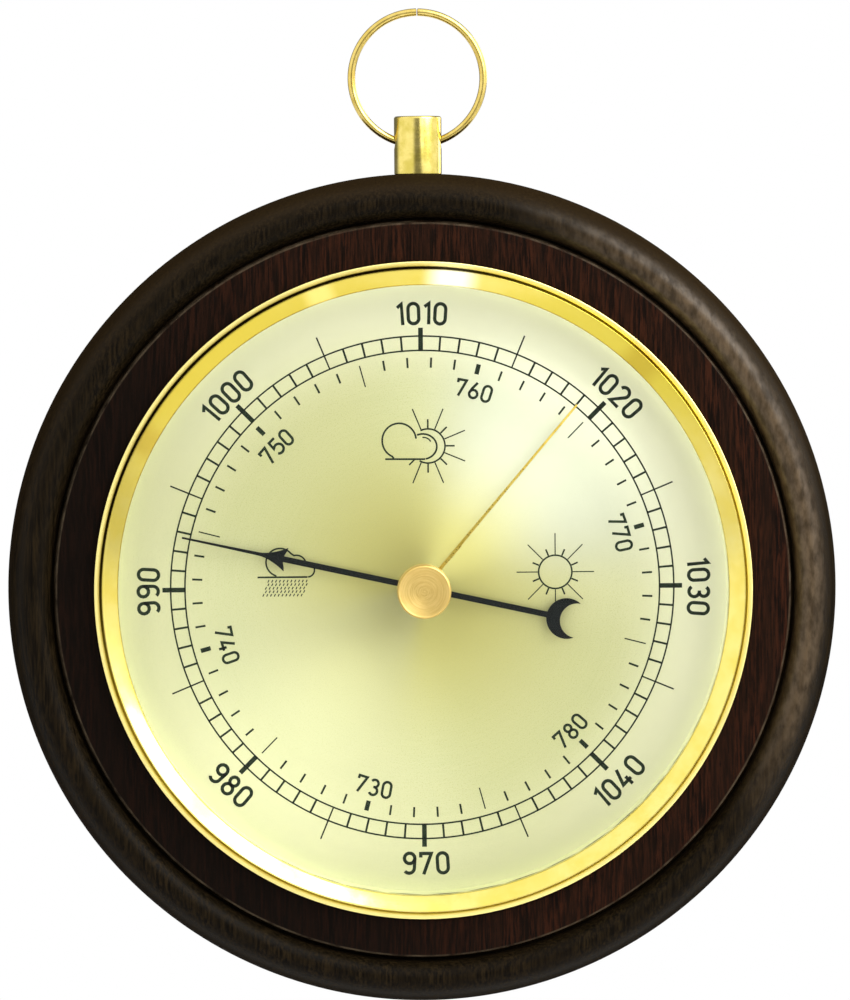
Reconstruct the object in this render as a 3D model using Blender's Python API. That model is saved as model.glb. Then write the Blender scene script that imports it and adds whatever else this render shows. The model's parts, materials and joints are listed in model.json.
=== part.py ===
"""Aneroid barometer: a turned wooden case on a hanging ring, with the whole aneroid movement inside.

The world origin is the point where the nail touches the inside of the hanging ring. +Z is up, the dial
faces -Y and +X is on the viewer's right. The round parts are made in the dial frame, an empty on the
dial's axis whose local X is right, local Y is up and local Z comes out of the dial towards the viewer.
Every length below is in millimetres, and scaled() turns it into metres.
"""

import math

import bmesh
import bpy
from mathutils import Matrix, Vector

MM = 0.001
GAP = 0.3  # clearance between neighbouring pieces
SEAM = 0.15  # clearance on the finest parts of the movement
PAST = 1.0  # how far a cutter runs past the face it opens

# Hanging ring and post
RING_RADIUS = 10.4  # to the middle of the wire
WIRE_RADIUS = 0.6
RING_SPLIT = 0.3
RING_CENTRE_Z = WIRE_RADIUS - RING_RADIUS
POST_RADIUS = 3.6
POST_HEIGHT = 8.8
POST_CHAMFER = 0.4
POST_HOLE_RADIUS = 1.1
SHANK_RADIUS = 1.8
SHANK_LENGTH = 7.0

# Wooden case, as heights along the dial's axis and radii about it
CASE_RADIUS = 65.0
CASE_BACK = -17.0
CASE_BACK_ROUND = 4.0
SIDE_TOP = 4.0  # where the straight side ends and the bead begins
CREST_RADIUS = 60.8
CREST = 13.0
VALLEY_RADIUS = 58.0
VALLEY = 9.8
LAND_RADIUS = 57.4
LAND = 11.6
LAND_EDGE = 0.4  # the land's rounded outer edge
BORE_RADIUS = 49.9
RECESS_RADIUS = 57.0
RECESS = -14.0
PLUMB = -3.13  # height of the hanging plane, through the centre of mass of what hangs

# Bezel, glass and can
FLANGE_RADIUS = 51.4
GROOVE_RADIUS = 50.25
BEZEL_CREST_RADIUS = 49.9
BEZEL_CREST = 14.5
BEZEL_MOUTH_RADIUS = 47.6
BEZEL_MOUTH = 12.1
SKIRT_RADIUS = 49.6
SKIRT_THICKNESS = 0.4
SKIRT_END = 4.0
LIP_ROUND = 0.55
LIP_HEIGHT = 1.6
BEZEL_LIP_RISE = 0.7
BEZEL_ROLL = 0.3  # flat on top of the cone
GROOVE_HEIGHT = 1.0
GLASS_RADIUS = 48.9
GLASS_FRONT = 11.2
GLASS_BACK = 9.8
GLASS_HOLE_RADIUS = 2.2
CAN_RADIUS = 48.9
CAN_WALL = 0.6
CAN_RIM = 8.6
CAN_BACK = -13.9
CAN_FLOOR = CAN_BACK + 0.7
VENT_RADIUS = 1.5
VENT_Y = -20.0

# Dial and hands
DIAL_RADIUS = 48.0
DIAL_FRONT = 4.2
DIAL_THICKNESS = 0.6
DIAL_HOLE_RADIUS = 1.6
POINTER_BACK = 5.6
POINTER_THICKNESS = 0.3
POINTER_REST_DEG = 77.6  # anticlockwise from the top: 992.7 hPa
POINTER_TIP = 38.6
ARROW_POINT = 26.2
ARROW_BASE = 21.9
ARROW_NOTCH = 22.4
ARROW_HALF_WIDTH = 1.9
SHAFT_TIP_HALF = 0.16
SHAFT_ARROW_HALF = 0.28
SHAFT_HALF = 0.42
HUB_RADIUS = 2.4
MOON_CENTRE = 23.1
MOON_RADIUS = 3.2
MOON_BITE_CENTRE = 24.8
MOON_BITE_RADIUS = 2.72
SET_HAND_BACK = 7.6
SET_HAND_THICKNESS = 0.3
SET_HAND_TIP = 37.6
SET_HAND_HALF = 0.2
SET_HAND_REST_DEG = -40.3  # clockwise from the top
KNOB_RADIUS = 4.2
KNOB_BACK = 11.8
KNOB_FRONT = 15.8
KNOB_BEVEL = 0.45
KNOB_BACK_BEVEL = 0.3
KNOB_CROWN = 2.0  # solid metal in front of the spindle's end
SPINDLE_RADIUS = 1.1
SPINDLE_FLANGE = 2.0
SPINDLE_FLANGE_HEIGHT = 0.4
BUSH_FLANGE = 3.2
BUSH_FLANGE_HEIGHT = 0.5

# Movement
BASE_BACK = -12.9
BASE_FRONT = -11.7
BASE_RADIUS = 40.0
FLOOR = BASE_FRONT + GAP  # where pieces stand on the base plate
SCREW_RADIUS = 1.0
SMALL_SCREW_RADIUS = 0.7
SCREW_HEAD_BEVEL = 0.3
SLOT_WIDTH = 0.5
SLOT_DEPTH = 0.4
SCREW_CLEARANCE = 0.3
SMALL_HEAD_RADIUS = 1.5
SMALL_HEAD_HEIGHT = 0.9
SMALL_HEAD_BEVEL = 0.25
PILLAR_RADIUS = 2.0
PILLAR_CIRCLE = 36.0
MOVEMENT_SCREW_CIRCLE = 33.0
CLIP_CIRCLE = 53.4
CLIP_MIDDLE = 50.0
CLIP_HALF_LENGTH = 5.8
CLIP_HALF_WIDTH = 3.5
CLIP_THICKNESS = 0.8
CLIP_SCREW_REACH = 7.5
HEAD_HEIGHT = 1.0
CLIP_SCREW_HEAD = 2.2
MOVEMENT_SCREW_HEAD = 2.4
CALIBRATION_HOLE_RADIUS = 3.0
CALIBRATION_HEAD = 1.3
CALIBRATION_SLOT = 0.6
CAPSULE_RADIUS = 15.0
CAPSULE_TOP = -6.9
SHEET = 0.4  # thickness of the capsule's diaphragms
SEAM_RIM = 1.2  # width of the flat rim at the capsule's seam
SHOULDER = 2.1  # from the capsule's edge to the foot of its ripples
SHOULDER_DROP = 0.4
CROWN_RADIUS = 4.2
RIPPLE = 0.3
RIPPLES = 2.25
RIPPLE_STEPS = 9
STUD_FLANGE = 2.6
STUD_FLANGE_HEIGHT = 0.6
STUD_RADIUS = 1.4
STUD_ABOVE_LEVER = 0.5
KNIFE_PIN_RADIUS = 0.45
KNIFE_PIN_HALF = 3.4
LEAF_THICKNESS = 0.6
LEAF_HALF_WIDTH = 6.0
LEAF_BEND_X = -27.0
LEAF_TIP_X = 7.0
LEAF_FOOT_X = -17.5
LEAF_FOOT = -10.3
LEAF_TOP = -4.8
CLAMP_X = -22.0
CALIBRATION_X = CLAMP_X - 1.5
SPRING_BRIDGE_X = -25.0
SPRING_BRIDGE_HEIGHT = 0.8
STUD_HOLE_RADIUS = 2.2
RIVET_X = 5.0
RIVET_RADIUS = 0.6
RIVET_HEAD = 1.2
RIVET_HEAD_HEIGHT = 0.5
RIVET_BEVEL = 0.2
RIVET_TAIL = 0.5
LEVER_ROOT_X = 3.2
LEVER_HALF_WIDTH = 1.5
LEVER_BACK = -4.5
LEVER_FRONT = -3.7
LINK_X = 25.0
LINK_TOP = -4.1
LEVER_END = 0.9  # how far the lever runs past the link
LINK_HALF_WIDTH = 1.15
LINK_SPAN = (-2.5, -1.9)
LINK_HOLE_RADIUS = 0.75  # wide enough for the lever's stub to move a little inside it
STUB_SPAN = (1.2, 2.9)
SHAFT_X = 27.6
SHAFT_HEIGHT = -7.5
SHAFT_RADIUS = 0.8
SHAFT_HALF_LENGTH = 8.0
PIVOT_RADIUS = 0.4
PIVOT_LENGTH = 1.6
COLLAR_RADIUS = 1.7
ARM_HALF = 0.4
CRANK_SPAN = (-1.5, 1.5)
CHAIN_ARM_TOP = 0.6  # above the chain
BRACKET_SHEET = 1.0
BRACKET_FOOT = 5.5
BRACKET_HALF_WIDTH = 2.5
BRACKET_ABOVE_SHAFT = 2.1
BRACKET_PLAY = 0.5
PIN_RADIUS = 0.35
CHAIN_HEIGHT = -0.8
CHAIN_RADIUS = 0.15
CHAIN_WRAP_RADIUS = 0.7
CHAIN_ARM_Y = -2.9
CHAIN_LINKS = 8
DRUM_RADIUS = 0.4
STAFF_RADIUS = 0.7
STAFF_ABOVE_POINTER = 0.9
DRUM_FLANGE = 1.1
DRUM_HALF = 0.5
COLLET_RADIUS = 1.5
BRIDGE_PILLAR_Y = 18.5
BRIDGE_END = 2.8  # how far a bridge runs past its pillars
BRIDGE_HALF_WIDTH = 3.0
BRIDGE_NECK_RADIUS = 1.2
NUT_RADIUS = 1.8
NUT_HEIGHT = 0.6
LOWER_BRIDGE = -2.7
UPPER_BRIDGE = 1.5
BRIDGE_THICKNESS = 0.8
HAIRSPRING_BACK = 0.2
HAIRSPRING_HEIGHT = 0.6
HAIRSPRING_HALF = 0.06  # half the ribbon's thickness
HAIRSPRING_STUD_RADIUS = 0.5
HAIRSPRING_INNER = 1.95
HAIRSPRING_OUTER = 5.7
HAIRSPRING_TURNS = 3.5

# Places worked out from the sizes above
CLIP_ANGLES = (60, 180, 300)
MOVEMENT_SCREW_ANGLES = (90, 210, 330)
PILLAR_ANGLES = (30, 150, 270)
SPRING_SCREW_X = -20.0
SPRING_SCREW_Y = 3.5
BRACKET_X = SHAFT_X
BRACKET_SCREW_Y = SHAFT_HALF_LENGTH + 4.0
FLEX_HEIGHT = LEAF_FOOT + LEAF_THICKNESS / 2
FLEX_ORIGIN = (CLAMP_X, 0, FLEX_HEIGHT)
# the ring's wire bows up on both sides of the post, and the cross hole is centred on that bow
WIRE_BOW = RING_RADIUS - math.sqrt(RING_RADIUS**2 - POST_RADIUS**2)
SWING_Z = RING_CENTRE_Z - RING_RADIUS + WIRE_BOW / 2
POST_ABOVE_SWING = 4.1
DIAL_AXIS_Z = SWING_Z + POST_ABOVE_SWING - POST_HEIGHT - GAP - CASE_RADIUS

ROUND_STEPS = 48
SMALL_STEPS = 16
TINY_STEPS = 10

MATERIALS = {
    # name: (base colour, roughness, metallic)
    "stained_wood": ((0.045, 0.024, 0.014), 0.45, 0.0),
    "polished_brass": ((0.90, 0.68, 0.22), 0.16, 1.0),
    "bezel_brass": ((0.93, 0.74, 0.25), 0.12, 1.0),
    "turned_brass": ((0.88, 0.62, 0.24), 0.30, 1.0),
    "clear_glass": ((0.95, 0.98, 0.96), 0.02, 0.0),
    "seal_rubber": ((0.03, 0.03, 0.03), 0.80, 0.0),
    "champagne_aluminium": ((0.78, 0.80, 0.50), 0.35, 1.0),
    "can_steel": ((0.62, 0.60, 0.50), 0.35, 1.0),
    "zinc_steel": ((0.58, 0.58, 0.56), 0.32, 1.0),
    "movement_brass": ((0.80, 0.60, 0.26), 0.30, 1.0),
    "spring_bronze": ((0.72, 0.45, 0.24), 0.30, 1.0),
    "blued_steel": ((0.12, 0.14, 0.22), 0.30, 1.0),
    "black_paint": ((0.012, 0.012, 0.012), 0.45, 0.0),
}

SHARP_ANGLE = math.radians(35)


def clear_scene():
    for obj in list(bpy.data.objects):
        bpy.data.objects.remove(obj, do_unlink=True)


def material(name):
    found = bpy.data.materials.get(name)
    if found:
        return found
    colour, roughness, metallic = MATERIALS[name]
    made = bpy.data.materials.new(name)
    made.use_nodes = True
    shader = made.node_tree.nodes["Principled BSDF"]
    shader.inputs["Base Color"].default_value = (*colour, 1.0)
    shader.inputs["Roughness"].default_value = roughness
    shader.inputs["Metallic"].default_value = metallic
    return made


def scaled(*values):
    return Vector([value * MM for value in values])


def empty(name, parent=None, place=(0, 0, 0), turn=(0, 0, 0)):
    frame = bpy.data.objects.new(name, None)
    bpy.context.scene.collection.objects.link(frame)
    frame.parent = parent
    frame.location = scaled(*place)
    frame.rotation_euler = turn
    return frame


def finished(name, bm, parent, look, place, turn):
    """The mesh as a named object in its parent's frame, with smooth round faces."""
    bmesh.ops.recalc_face_normals(bm, faces=bm.faces)
    mesh = bpy.data.meshes.new(name)
    bm.to_mesh(mesh)
    bm.free()
    mesh.shade_smooth()
    mesh.set_sharp_from_angle(angle=SHARP_ANGLE)
    obj = bpy.data.objects.new(name, mesh)
    bpy.context.scene.collection.objects.link(obj)
    obj.parent = parent
    obj.location = scaled(*place)
    obj.rotation_euler = turn
    if look:
        mesh.materials.append(material(look))
    return obj


def turned(name, profile, parent, look=None, place=(0, 0, 0), turn=(0, 0, 0), steps=ROUND_STEPS):
    """A turned piece: the closed (radius, height) profile spun about the local Z axis."""
    bm = bmesh.new()
    verts = [bm.verts.new(scaled(radius, 0, height)) for radius, height in profile]
    edges = [bm.edges.new(pair) for pair in zip(verts, verts[1:] + verts[:1])]
    on_axis = [edge for edge in edges if all(vert.co.x == 0 for vert in edge.verts)]
    for edge in on_axis:
        bm.edges.remove(edge)
        edges.remove(edge)
    bmesh.ops.spin(
        bm, geom=verts + edges, cent=(0, 0, 0), axis=(0, 0, 1), angle=math.tau, steps=steps, use_merge=True
    )
    bmesh.ops.remove_doubles(bm, verts=bm.verts, dist=1e-7)
    return finished(name, bm, parent, look, place, turn)


def extruded(name, outline, low, high, parent, look=None, place=(0, 0, 0), turn=(0, 0, 0)):
    """A plate: the closed (x, y) outline raised along local Z from low to high."""
    bm = bmesh.new()
    face = bm.faces.new([bm.verts.new(scaled(x, y, low)) for x, y in outline])
    raised = bmesh.ops.extrude_face_region(bm, geom=[face])["geom"]
    moved = [item for item in raised if isinstance(item, bmesh.types.BMVert)]
    bmesh.ops.translate(bm, verts=moved, vec=scaled(0, 0, high - low))
    return finished(name, bm, parent, look, place, turn)


def washer(inner, outer, low, high):
    """The closed profile of a flat ring."""
    return [(inner, low), (outer, low), (outer, high), (inner, high)]


def rod(name, radius, low, high, parent, look=None, place=(0, 0, 0), turn=(0, 0, 0), steps=TINY_STEPS):
    profile = [(0, low), (radius, low), (radius, high), (0, high)]
    return turned(name, profile, parent, look, place, turn, steps)


def box(name, low, high, parent, look=None):
    corners = [(low[0], low[1]), (high[0], low[1]), (high[0], high[1]), (low[0], high[1])]
    return extruded(name, corners, low[2], high[2], parent, look)


def boolean(target, operation, helper):
    """Cuts or joins the helper, which is only a guide and never a piece."""
    helper.hide_render = True
    helper.display_type = "WIRE"
    modifier = target.modifiers.new(helper.name, "BOOLEAN")
    modifier.operation = operation
    modifier.solver = "EXACT"
    modifier.object = helper


def drill(target, radius, low, high, place=(0, 0, 0), turn=(0, 0, 0), steps=TINY_STEPS):
    """A round hole along the local Z of the target's parent, or along another axis when turned."""
    name = f"{target.name}_cut_{len(target.modifiers)}"
    boolean(target, "DIFFERENCE", rod(name, radius, low, high, target.parent, None, place, turn, steps))


def join(target, helper):
    boolean(target, "UNION", helper)


def arc(centre, radii, start_deg, end_deg, steps):
    """Points of an elliptical arc in a plane, both ends included."""
    points = []
    for step in range(steps + 1):
        angle = math.radians(start_deg + (end_deg - start_deg) * step / steps)
        points.append((centre[0] + radii[0] * math.cos(angle), centre[1] + radii[1] * math.sin(angle)))
    return points


def on_circle(radius, degrees):
    angle = math.radians(degrees)
    return radius * math.cos(angle), radius * math.sin(angle)


def stadium(half_length, radius, steps=8):
    """A bar along Y with round ends."""
    top = arc((0, half_length - radius), (radius, radius), 0, 180, steps)
    bottom = arc((0, radius - half_length), (radius, radius), 180, 360, steps)
    return top + bottom


def screw(name, parent, place, head, shank, look, slot_width=SLOT_WIDTH):
    """A slotted screw whose head points along local -Z: head and shank are (radius, low, high)."""
    head_radius, head_low, head_high = head
    shank_radius, _, shank_high = shank
    crown = head_radius * 0.8
    edge = head_low + SCREW_HEAD_BEVEL
    profile = [(0, head_low), (crown, head_low), (head_radius, edge), (head_radius, head_high)]
    profile += [(shank_radius, head_high), (shank_radius, shank_high), (0, shank_high)]
    made = turned(name, profile, parent, look, place, steps=SMALL_STEPS)
    reach = head_radius + PAST
    half = slot_width / 2
    cut = box(f"{name}_slot", (-reach, -half, head_low - PAST), (reach, half, head_low + SLOT_DEPTH), parent)
    cut.location = scaled(*place)
    boolean(made, "DIFFERENCE", cut)
    return made


FACING_UP = (-math.pi / 2, 0, 0)  # local Z laid along the parent's +Y
FACING_DOWN = (math.pi / 2, 0, 0)  # local Z laid along the parent's -Y
FACING_RIGHT = (0, math.pi / 2, 0)  # local Z laid along the parent's +X


def hanging_ring(frame):
    """A split ring: one wire, bent round almost to a full circle, with its ends nearly meeting on top."""
    opening = RING_SPLIT / RING_RADIUS
    bm = bmesh.new()
    section = arc((RING_RADIUS, 0), (WIRE_RADIUS, WIRE_RADIUS), 0, 360, 8)[:-1]
    face = bm.faces.new([bm.verts.new(scaled(radius, 0, depth)) for radius, depth in section])
    start = Matrix.Rotation(math.pi / 2 + opening / 2, 3, "Z")
    bmesh.ops.rotate(bm, verts=face.verts, cent=(0, 0, 0), matrix=start)
    bmesh.ops.spin(
        bm, geom=[face], cent=(0, 0, 0), axis=(0, 0, 1), angle=math.tau - opening, steps=ROUND_STEPS
    )
    return finished("hanging_ring", bm, frame, "polished_brass", (0, 0, RING_CENTRE_Z), (math.pi / 2, 0, 0))


def hanger_post(frame):
    """The post stands on the case, and its shank goes down into the wood."""
    foot = CASE_RADIUS + GAP
    top = foot + POST_HEIGHT
    profile = [
        (0, foot - SHANK_LENGTH),
        (SHANK_RADIUS, foot - SHANK_LENGTH),
        (SHANK_RADIUS, foot),
        (POST_RADIUS, foot),
        (POST_RADIUS, top - POST_CHAMFER),
        (POST_RADIUS - POST_CHAMFER, top),
        (0, top),
    ]
    post = turned("hanger_post", profile, frame, "polished_brass", (0, 0, PLUMB), FACING_UP, SMALL_STEPS)
    hole_up = -DIAL_AXIS_Z + SWING_Z
    reach = POST_RADIUS + PAST
    drill(post, POST_HOLE_RADIUS, -reach, reach, (0, hole_up, PLUMB), FACING_RIGHT, SMALL_STEPS)


def wooden_case(frame):
    bead_outside = arc((CREST_RADIUS, SIDE_TOP), (CASE_RADIUS - CREST_RADIUS, CREST - SIDE_TOP), 0, 90, 5)
    bead_inside = arc((CREST_RADIUS, VALLEY), (CREST_RADIUS - VALLEY_RADIUS, CREST - VALLEY), 90, 180, 3)[1:]
    back_centre = (CASE_RADIUS - CASE_BACK_ROUND, CASE_BACK + CASE_BACK_ROUND)
    back_round = arc(back_centre, (CASE_BACK_ROUND, CASE_BACK_ROUND), -90, 0, 3)
    profile = [(BORE_RADIUS, RECESS), (RECESS_RADIUS, RECESS), (RECESS_RADIUS, CASE_BACK)]
    profile += back_round + bead_outside + bead_inside
    profile += [(LAND_RADIUS, LAND - LAND_EDGE), (LAND_RADIUS - LAND_EDGE, LAND), (BORE_RADIUS, LAND)]
    case = turned("wooden_case", profile, frame, "stained_wood")
    floor = CASE_RADIUS - SHANK_LENGTH
    drill(case, SHANK_RADIUS + GAP, floor, CASE_RADIUS + PAST, (0, 0, PLUMB), FACING_UP, SMALL_STEPS)
    for degrees in CLIP_ANGLES:
        x, y = on_circle(CLIP_CIRCLE, degrees)
        drill(case, SCREW_RADIUS + GAP, RECESS - PAST, RECESS + CLIP_SCREW_REACH + 1.5, (x, y, 0))


def bezel(frame):
    """Spun sheet: a rolled lip on the land, a groove, a cone down to the mouth, and a skirt in the bore."""
    low = LAND + GAP
    lip_centre = (GROOVE_RADIUS + LIP_ROUND, low + LIP_HEIGHT - BEZEL_LIP_RISE)
    lip = arc(lip_centre, (FLANGE_RADIUS - lip_centre[0], BEZEL_LIP_RISE), 0, 150, 3)
    profile = [(SKIRT_RADIUS, SKIRT_END), (SKIRT_RADIUS, low), (FLANGE_RADIUS, low)]
    profile += lip
    profile += [
        (GROOVE_RADIUS, low + GROOVE_HEIGHT),
        (BEZEL_CREST_RADIUS, BEZEL_CREST),
        (BEZEL_CREST_RADIUS - BEZEL_ROLL, BEZEL_CREST),
        (BEZEL_MOUTH_RADIUS, BEZEL_MOUTH),
        (BEZEL_MOUTH_RADIUS, GLASS_FRONT + GAP),
        (SKIRT_RADIUS - SKIRT_THICKNESS, GLASS_FRONT + GAP),
        (SKIRT_RADIUS - SKIRT_THICKNESS, SKIRT_END),
    ]
    turned("bezel", profile, frame, "bezel_brass")


def glass_and_gasket(frame):
    turned("glass", washer(GLASS_HOLE_RADIUS, GLASS_RADIUS, GLASS_BACK, GLASS_FRONT), frame, "clear_glass")
    low = CAN_RIM + GAP
    high = GLASS_BACK - GAP
    inner = BEZEL_MOUTH_RADIUS + GAP
    turned("glass_gasket", washer(inner, GLASS_RADIUS, low, high), frame, "seal_rubber")


def housing_can(frame):
    inside = CAN_RADIUS - CAN_WALL
    profile = [
        (0, CAN_BACK),
        (CAN_RADIUS, CAN_BACK),
        (CAN_RADIUS, CAN_RIM),
        (inside, CAN_RIM),
        (inside, CAN_FLOOR),
        (0, CAN_FLOOR),
    ]
    can = turned("housing_can", profile, frame, "can_steel")
    through = (CAN_BACK - PAST, CAN_FLOOR + PAST)
    for degrees in MOVEMENT_SCREW_ANGLES:
        drill(can, SCREW_RADIUS + GAP, *through, (*on_circle(MOVEMENT_SCREW_CIRCLE, degrees), 0))
    drill(can, CALIBRATION_HOLE_RADIUS, *through, (CLAMP_X, 0, 0), steps=SMALL_STEPS)
    drill(can, VENT_RADIUS, *through, (0, VENT_Y, 0))


def clips_and_screws(frame):
    """Strips screwed to the recess reach over the can's edge and hold it in the wood."""
    front = RECESS - GAP
    back = front - CLIP_THICKNESS
    for index, degrees in enumerate(CLIP_ANGLES, start=1):
        clip_frame = empty(f"clip_frame_{index}", frame, (0, 0, 0), (0, 0, math.radians(degrees - 90)))
        bar = [(x, y + CLIP_MIDDLE) for x, y in stadium(CLIP_HALF_LENGTH, CLIP_HALF_WIDTH)]
        clip = extruded(f"retaining_clip_{index}", bar, back, front, clip_frame, "zinc_steel")
        drill(clip, SCREW_RADIUS + GAP, back - PAST, front + PAST, (0, CLIP_CIRCLE, 0))
        head = (CLIP_SCREW_HEAD, back - GAP - HEAD_HEIGHT, back - GAP)
        shank = (SCREW_RADIUS, back - GAP, RECESS + CLIP_SCREW_REACH)
        screw(f"clip_screw_{index}", clip_frame, (0, CLIP_CIRCLE, 0), head, shank, "zinc_steel")


def movement_plate(frame):
    rim = arc((0, 0), (BASE_RADIUS, BASE_RADIUS), 0, 360, ROUND_STEPS)[:-1]
    plate = extruded("base_plate", rim, BASE_BACK, BASE_FRONT, frame, "movement_brass")
    through = (BASE_BACK - PAST, BASE_FRONT + PAST)
    head = (MOVEMENT_SCREW_HEAD, CAN_BACK - GAP - HEAD_HEIGHT, CAN_BACK - GAP)
    shank = (SCREW_RADIUS, CAN_BACK - GAP, BASE_FRONT)
    for index, degrees in enumerate(MOVEMENT_SCREW_ANGLES, start=1):
        place = (*on_circle(MOVEMENT_SCREW_CIRCLE, degrees), 0)
        drill(plate, SCREW_RADIUS + GAP, *through, place)
        screw(f"movement_screw_{index}", frame, place, head, shank, "zinc_steel")
    small_hole = SMALL_SCREW_RADIUS + SCREW_CLEARANCE
    for side in (-1, 1):
        drill(plate, small_hole, *through, (SPRING_SCREW_X, side * SPRING_SCREW_Y, 0))
        drill(plate, small_hole, *through, (BRACKET_X, side * BRACKET_SCREW_Y, 0))
    drill(plate, SCREW_RADIUS + GAP, *through, (CALIBRATION_X, 0, 0))
    for index, degrees in enumerate(PILLAR_ANGLES, start=1):
        place = (*on_circle(PILLAR_CIRCLE, degrees), 0)
        top = DIAL_FRONT - DIAL_THICKNESS - GAP
        rod(f"dial_pillar_{index}", PILLAR_RADIUS, FLOOR, top, frame, "movement_brass", place)


def calibration_screw(frame):
    """Its head sits in the can's hole, and its tip lifts the spring bridge."""
    pivot = empty("calibration_axis", frame, (CALIBRATION_X, 0, 0))
    head = (CALIBRATION_HEAD, CAN_BACK - GAP, CAN_FLOOR)
    shank = (SCREW_RADIUS, CAN_FLOOR, BASE_FRONT)
    screw("calibration_screw", pivot, (0, 0, 0), head, shank, "zinc_steel", CALIBRATION_SLOT)


def diaphragm(name, seam, crown, parent):
    """A corrugated disc of one sheet: a flat rim at the seam, ripples, and a raised middle at the crown."""
    rise = abs(crown - seam)
    side = math.copysign(1, crown - seam)
    shoulder = rise - SHOULDER_DROP
    ripples_start = CAPSULE_RADIUS - SHOULDER
    outer = [(CAPSULE_RADIUS, SHEET), (CAPSULE_RADIUS - SEAM_RIM, SHEET), (ripples_start, shoulder)]
    for step in range(1, RIPPLE_STEPS):
        share = step / RIPPLE_STEPS
        radius = ripples_start - share * (ripples_start - CROWN_RADIUS)
        outer.append((radius, shoulder - RIPPLE * math.sin(share * RIPPLES * math.tau)))
    outer += [(CROWN_RADIUS, rise), (0, rise)]
    inner = [(radius, height - SHEET) for radius, height in reversed(outer)]
    profile = [(radius, seam + side * height) for radius, height in outer + inner]
    turned(name, profile, parent, "spring_bronze", steps=24)


def capsule(frame, travel):
    middle = (FLOOR + CAPSULE_TOP) / 2
    diaphragm("capsule_lower_diaphragm", middle - SEAM, FLOOR, frame)
    diaphragm("capsule_upper_diaphragm", middle + SEAM, CAPSULE_TOP, travel)
    foot = CAPSULE_TOP + GAP
    step = foot + STUD_FLANGE_HEIGHT
    top = LEVER_FRONT + STUD_ABOVE_LEVER
    profile = [(0, foot), (STUD_FLANGE, foot), (STUD_FLANGE, step)]
    profile += [(STUD_RADIUS, step), (STUD_RADIUS, top), (0, top)]
    stud = turned("capsule_stud", profile, travel, "movement_brass", steps=SMALL_STEPS)
    pin_place = (0, 0, LEAF_TOP + GAP + KNIFE_PIN_RADIUS)
    reach = STUD_RADIUS + PAST
    drill(stud, KNIFE_PIN_RADIUS + GAP, -reach, reach, pin_place, FACING_UP)
    half = KNIFE_PIN_HALF
    rod("knife_edge_pin", KNIFE_PIN_RADIUS, -half, half, travel, "blued_steel", pin_place, FACING_UP)


def mainspring(frame, flex):
    """A C-shaped leaf: the foot on its bridge, the bend beside the capsule, the top leaf over the stud."""
    foot_middle = LEAF_FOOT + LEAF_THICKNESS / 2
    top_middle = LEAF_TOP - LEAF_THICKNESS / 2
    bend = (top_middle - foot_middle) / 2
    outer = bend + LEAF_THICKNESS / 2
    inner = bend - LEAF_THICKNESS / 2
    centre = (LEAF_BEND_X, (foot_middle + top_middle) / 2)
    outline = [(LEAF_TIP_X, LEAF_TOP)] + arc(centre, (outer, outer), 90, 270, 8) + [(LEAF_FOOT_X, LEAF_FOOT)]
    outline += [(LEAF_FOOT_X, LEAF_FOOT + LEAF_THICKNESS)] + arc(centre, (inner, inner), 270, 90, 8)
    outline += [(LEAF_TIP_X, LEAF_TOP - LEAF_THICKNESS)]
    leaf = side_plate("mainspring", outline, LEAF_HALF_WIDTH, flex, "blued_steel")
    through_top = (LEAF_TOP - PAST, LEAF_TOP + PAST)
    drill(leaf, STUD_HOLE_RADIUS, *through_top, in_flex(0, 0), steps=SMALL_STEPS)
    drill(leaf, RIVET_RADIUS + GAP, *through_top, in_flex(RIVET_X, 0))
    low = (SPRING_BRIDGE_X, -LEAF_HALF_WIDTH, FLOOR)
    high = (LEAF_FOOT_X, LEAF_HALF_WIDTH, FLOOR + SPRING_BRIDGE_HEIGHT)
    bridge = box("spring_bridge", low, high, frame, "movement_brass")
    hole = SMALL_SCREW_RADIUS + SCREW_CLEARANCE
    for index, side in enumerate((-1, 1), start=1):
        place = (SPRING_SCREW_X, side * SPRING_SCREW_Y, 0)
        drill(bridge, hole, FLOOR - PAST, FLOOR + SPRING_BRIDGE_HEIGHT + PAST, place)
        through_foot = (LEAF_FOOT - PAST, LEAF_FOOT + LEAF_THICKNESS + PAST)
        drill(leaf, hole + SEAM, *through_foot, in_flex(SPRING_SCREW_X, side * SPRING_SCREW_Y))
        small_screw(f"spring_screw_{index}", frame, place, LEAF_FOOT + LEAF_THICKNESS + GAP)


def small_screw(name, parent, place, seat):
    """A cheese-head screw driven from the front into the base plate, its head resting at the seat."""
    shank_end = BASE_BACK + GAP
    top = seat + SMALL_HEAD_HEIGHT
    edge = SMALL_HEAD_BEVEL
    profile = [(0, shank_end), (SMALL_SCREW_RADIUS, shank_end), (SMALL_SCREW_RADIUS, seat)]
    profile += [(SMALL_HEAD_RADIUS, seat), (SMALL_HEAD_RADIUS, top - edge)]
    profile += [(SMALL_HEAD_RADIUS - edge, top), (0, top)]
    turned(name, profile, parent, "zinc_steel", place, steps=TINY_STEPS)


def side_plate(name, outline, half_width, flex, look):
    """A plate on the flexing arm: its outline lies in the dial frame's X and Z, and its width along Y."""
    flat = [(x - CLAMP_X, height - FLEX_HEIGHT) for x, height in outline]
    return extruded(name, flat, -half_width, half_width, flex, look, turn=FACING_DOWN)


def in_flex(x, y, height=0.0):
    """A place in the dial frame, as seen from the flexing arm's own frame."""
    return x - CLAMP_X, y, height - FLEX_HEIGHT


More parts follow.
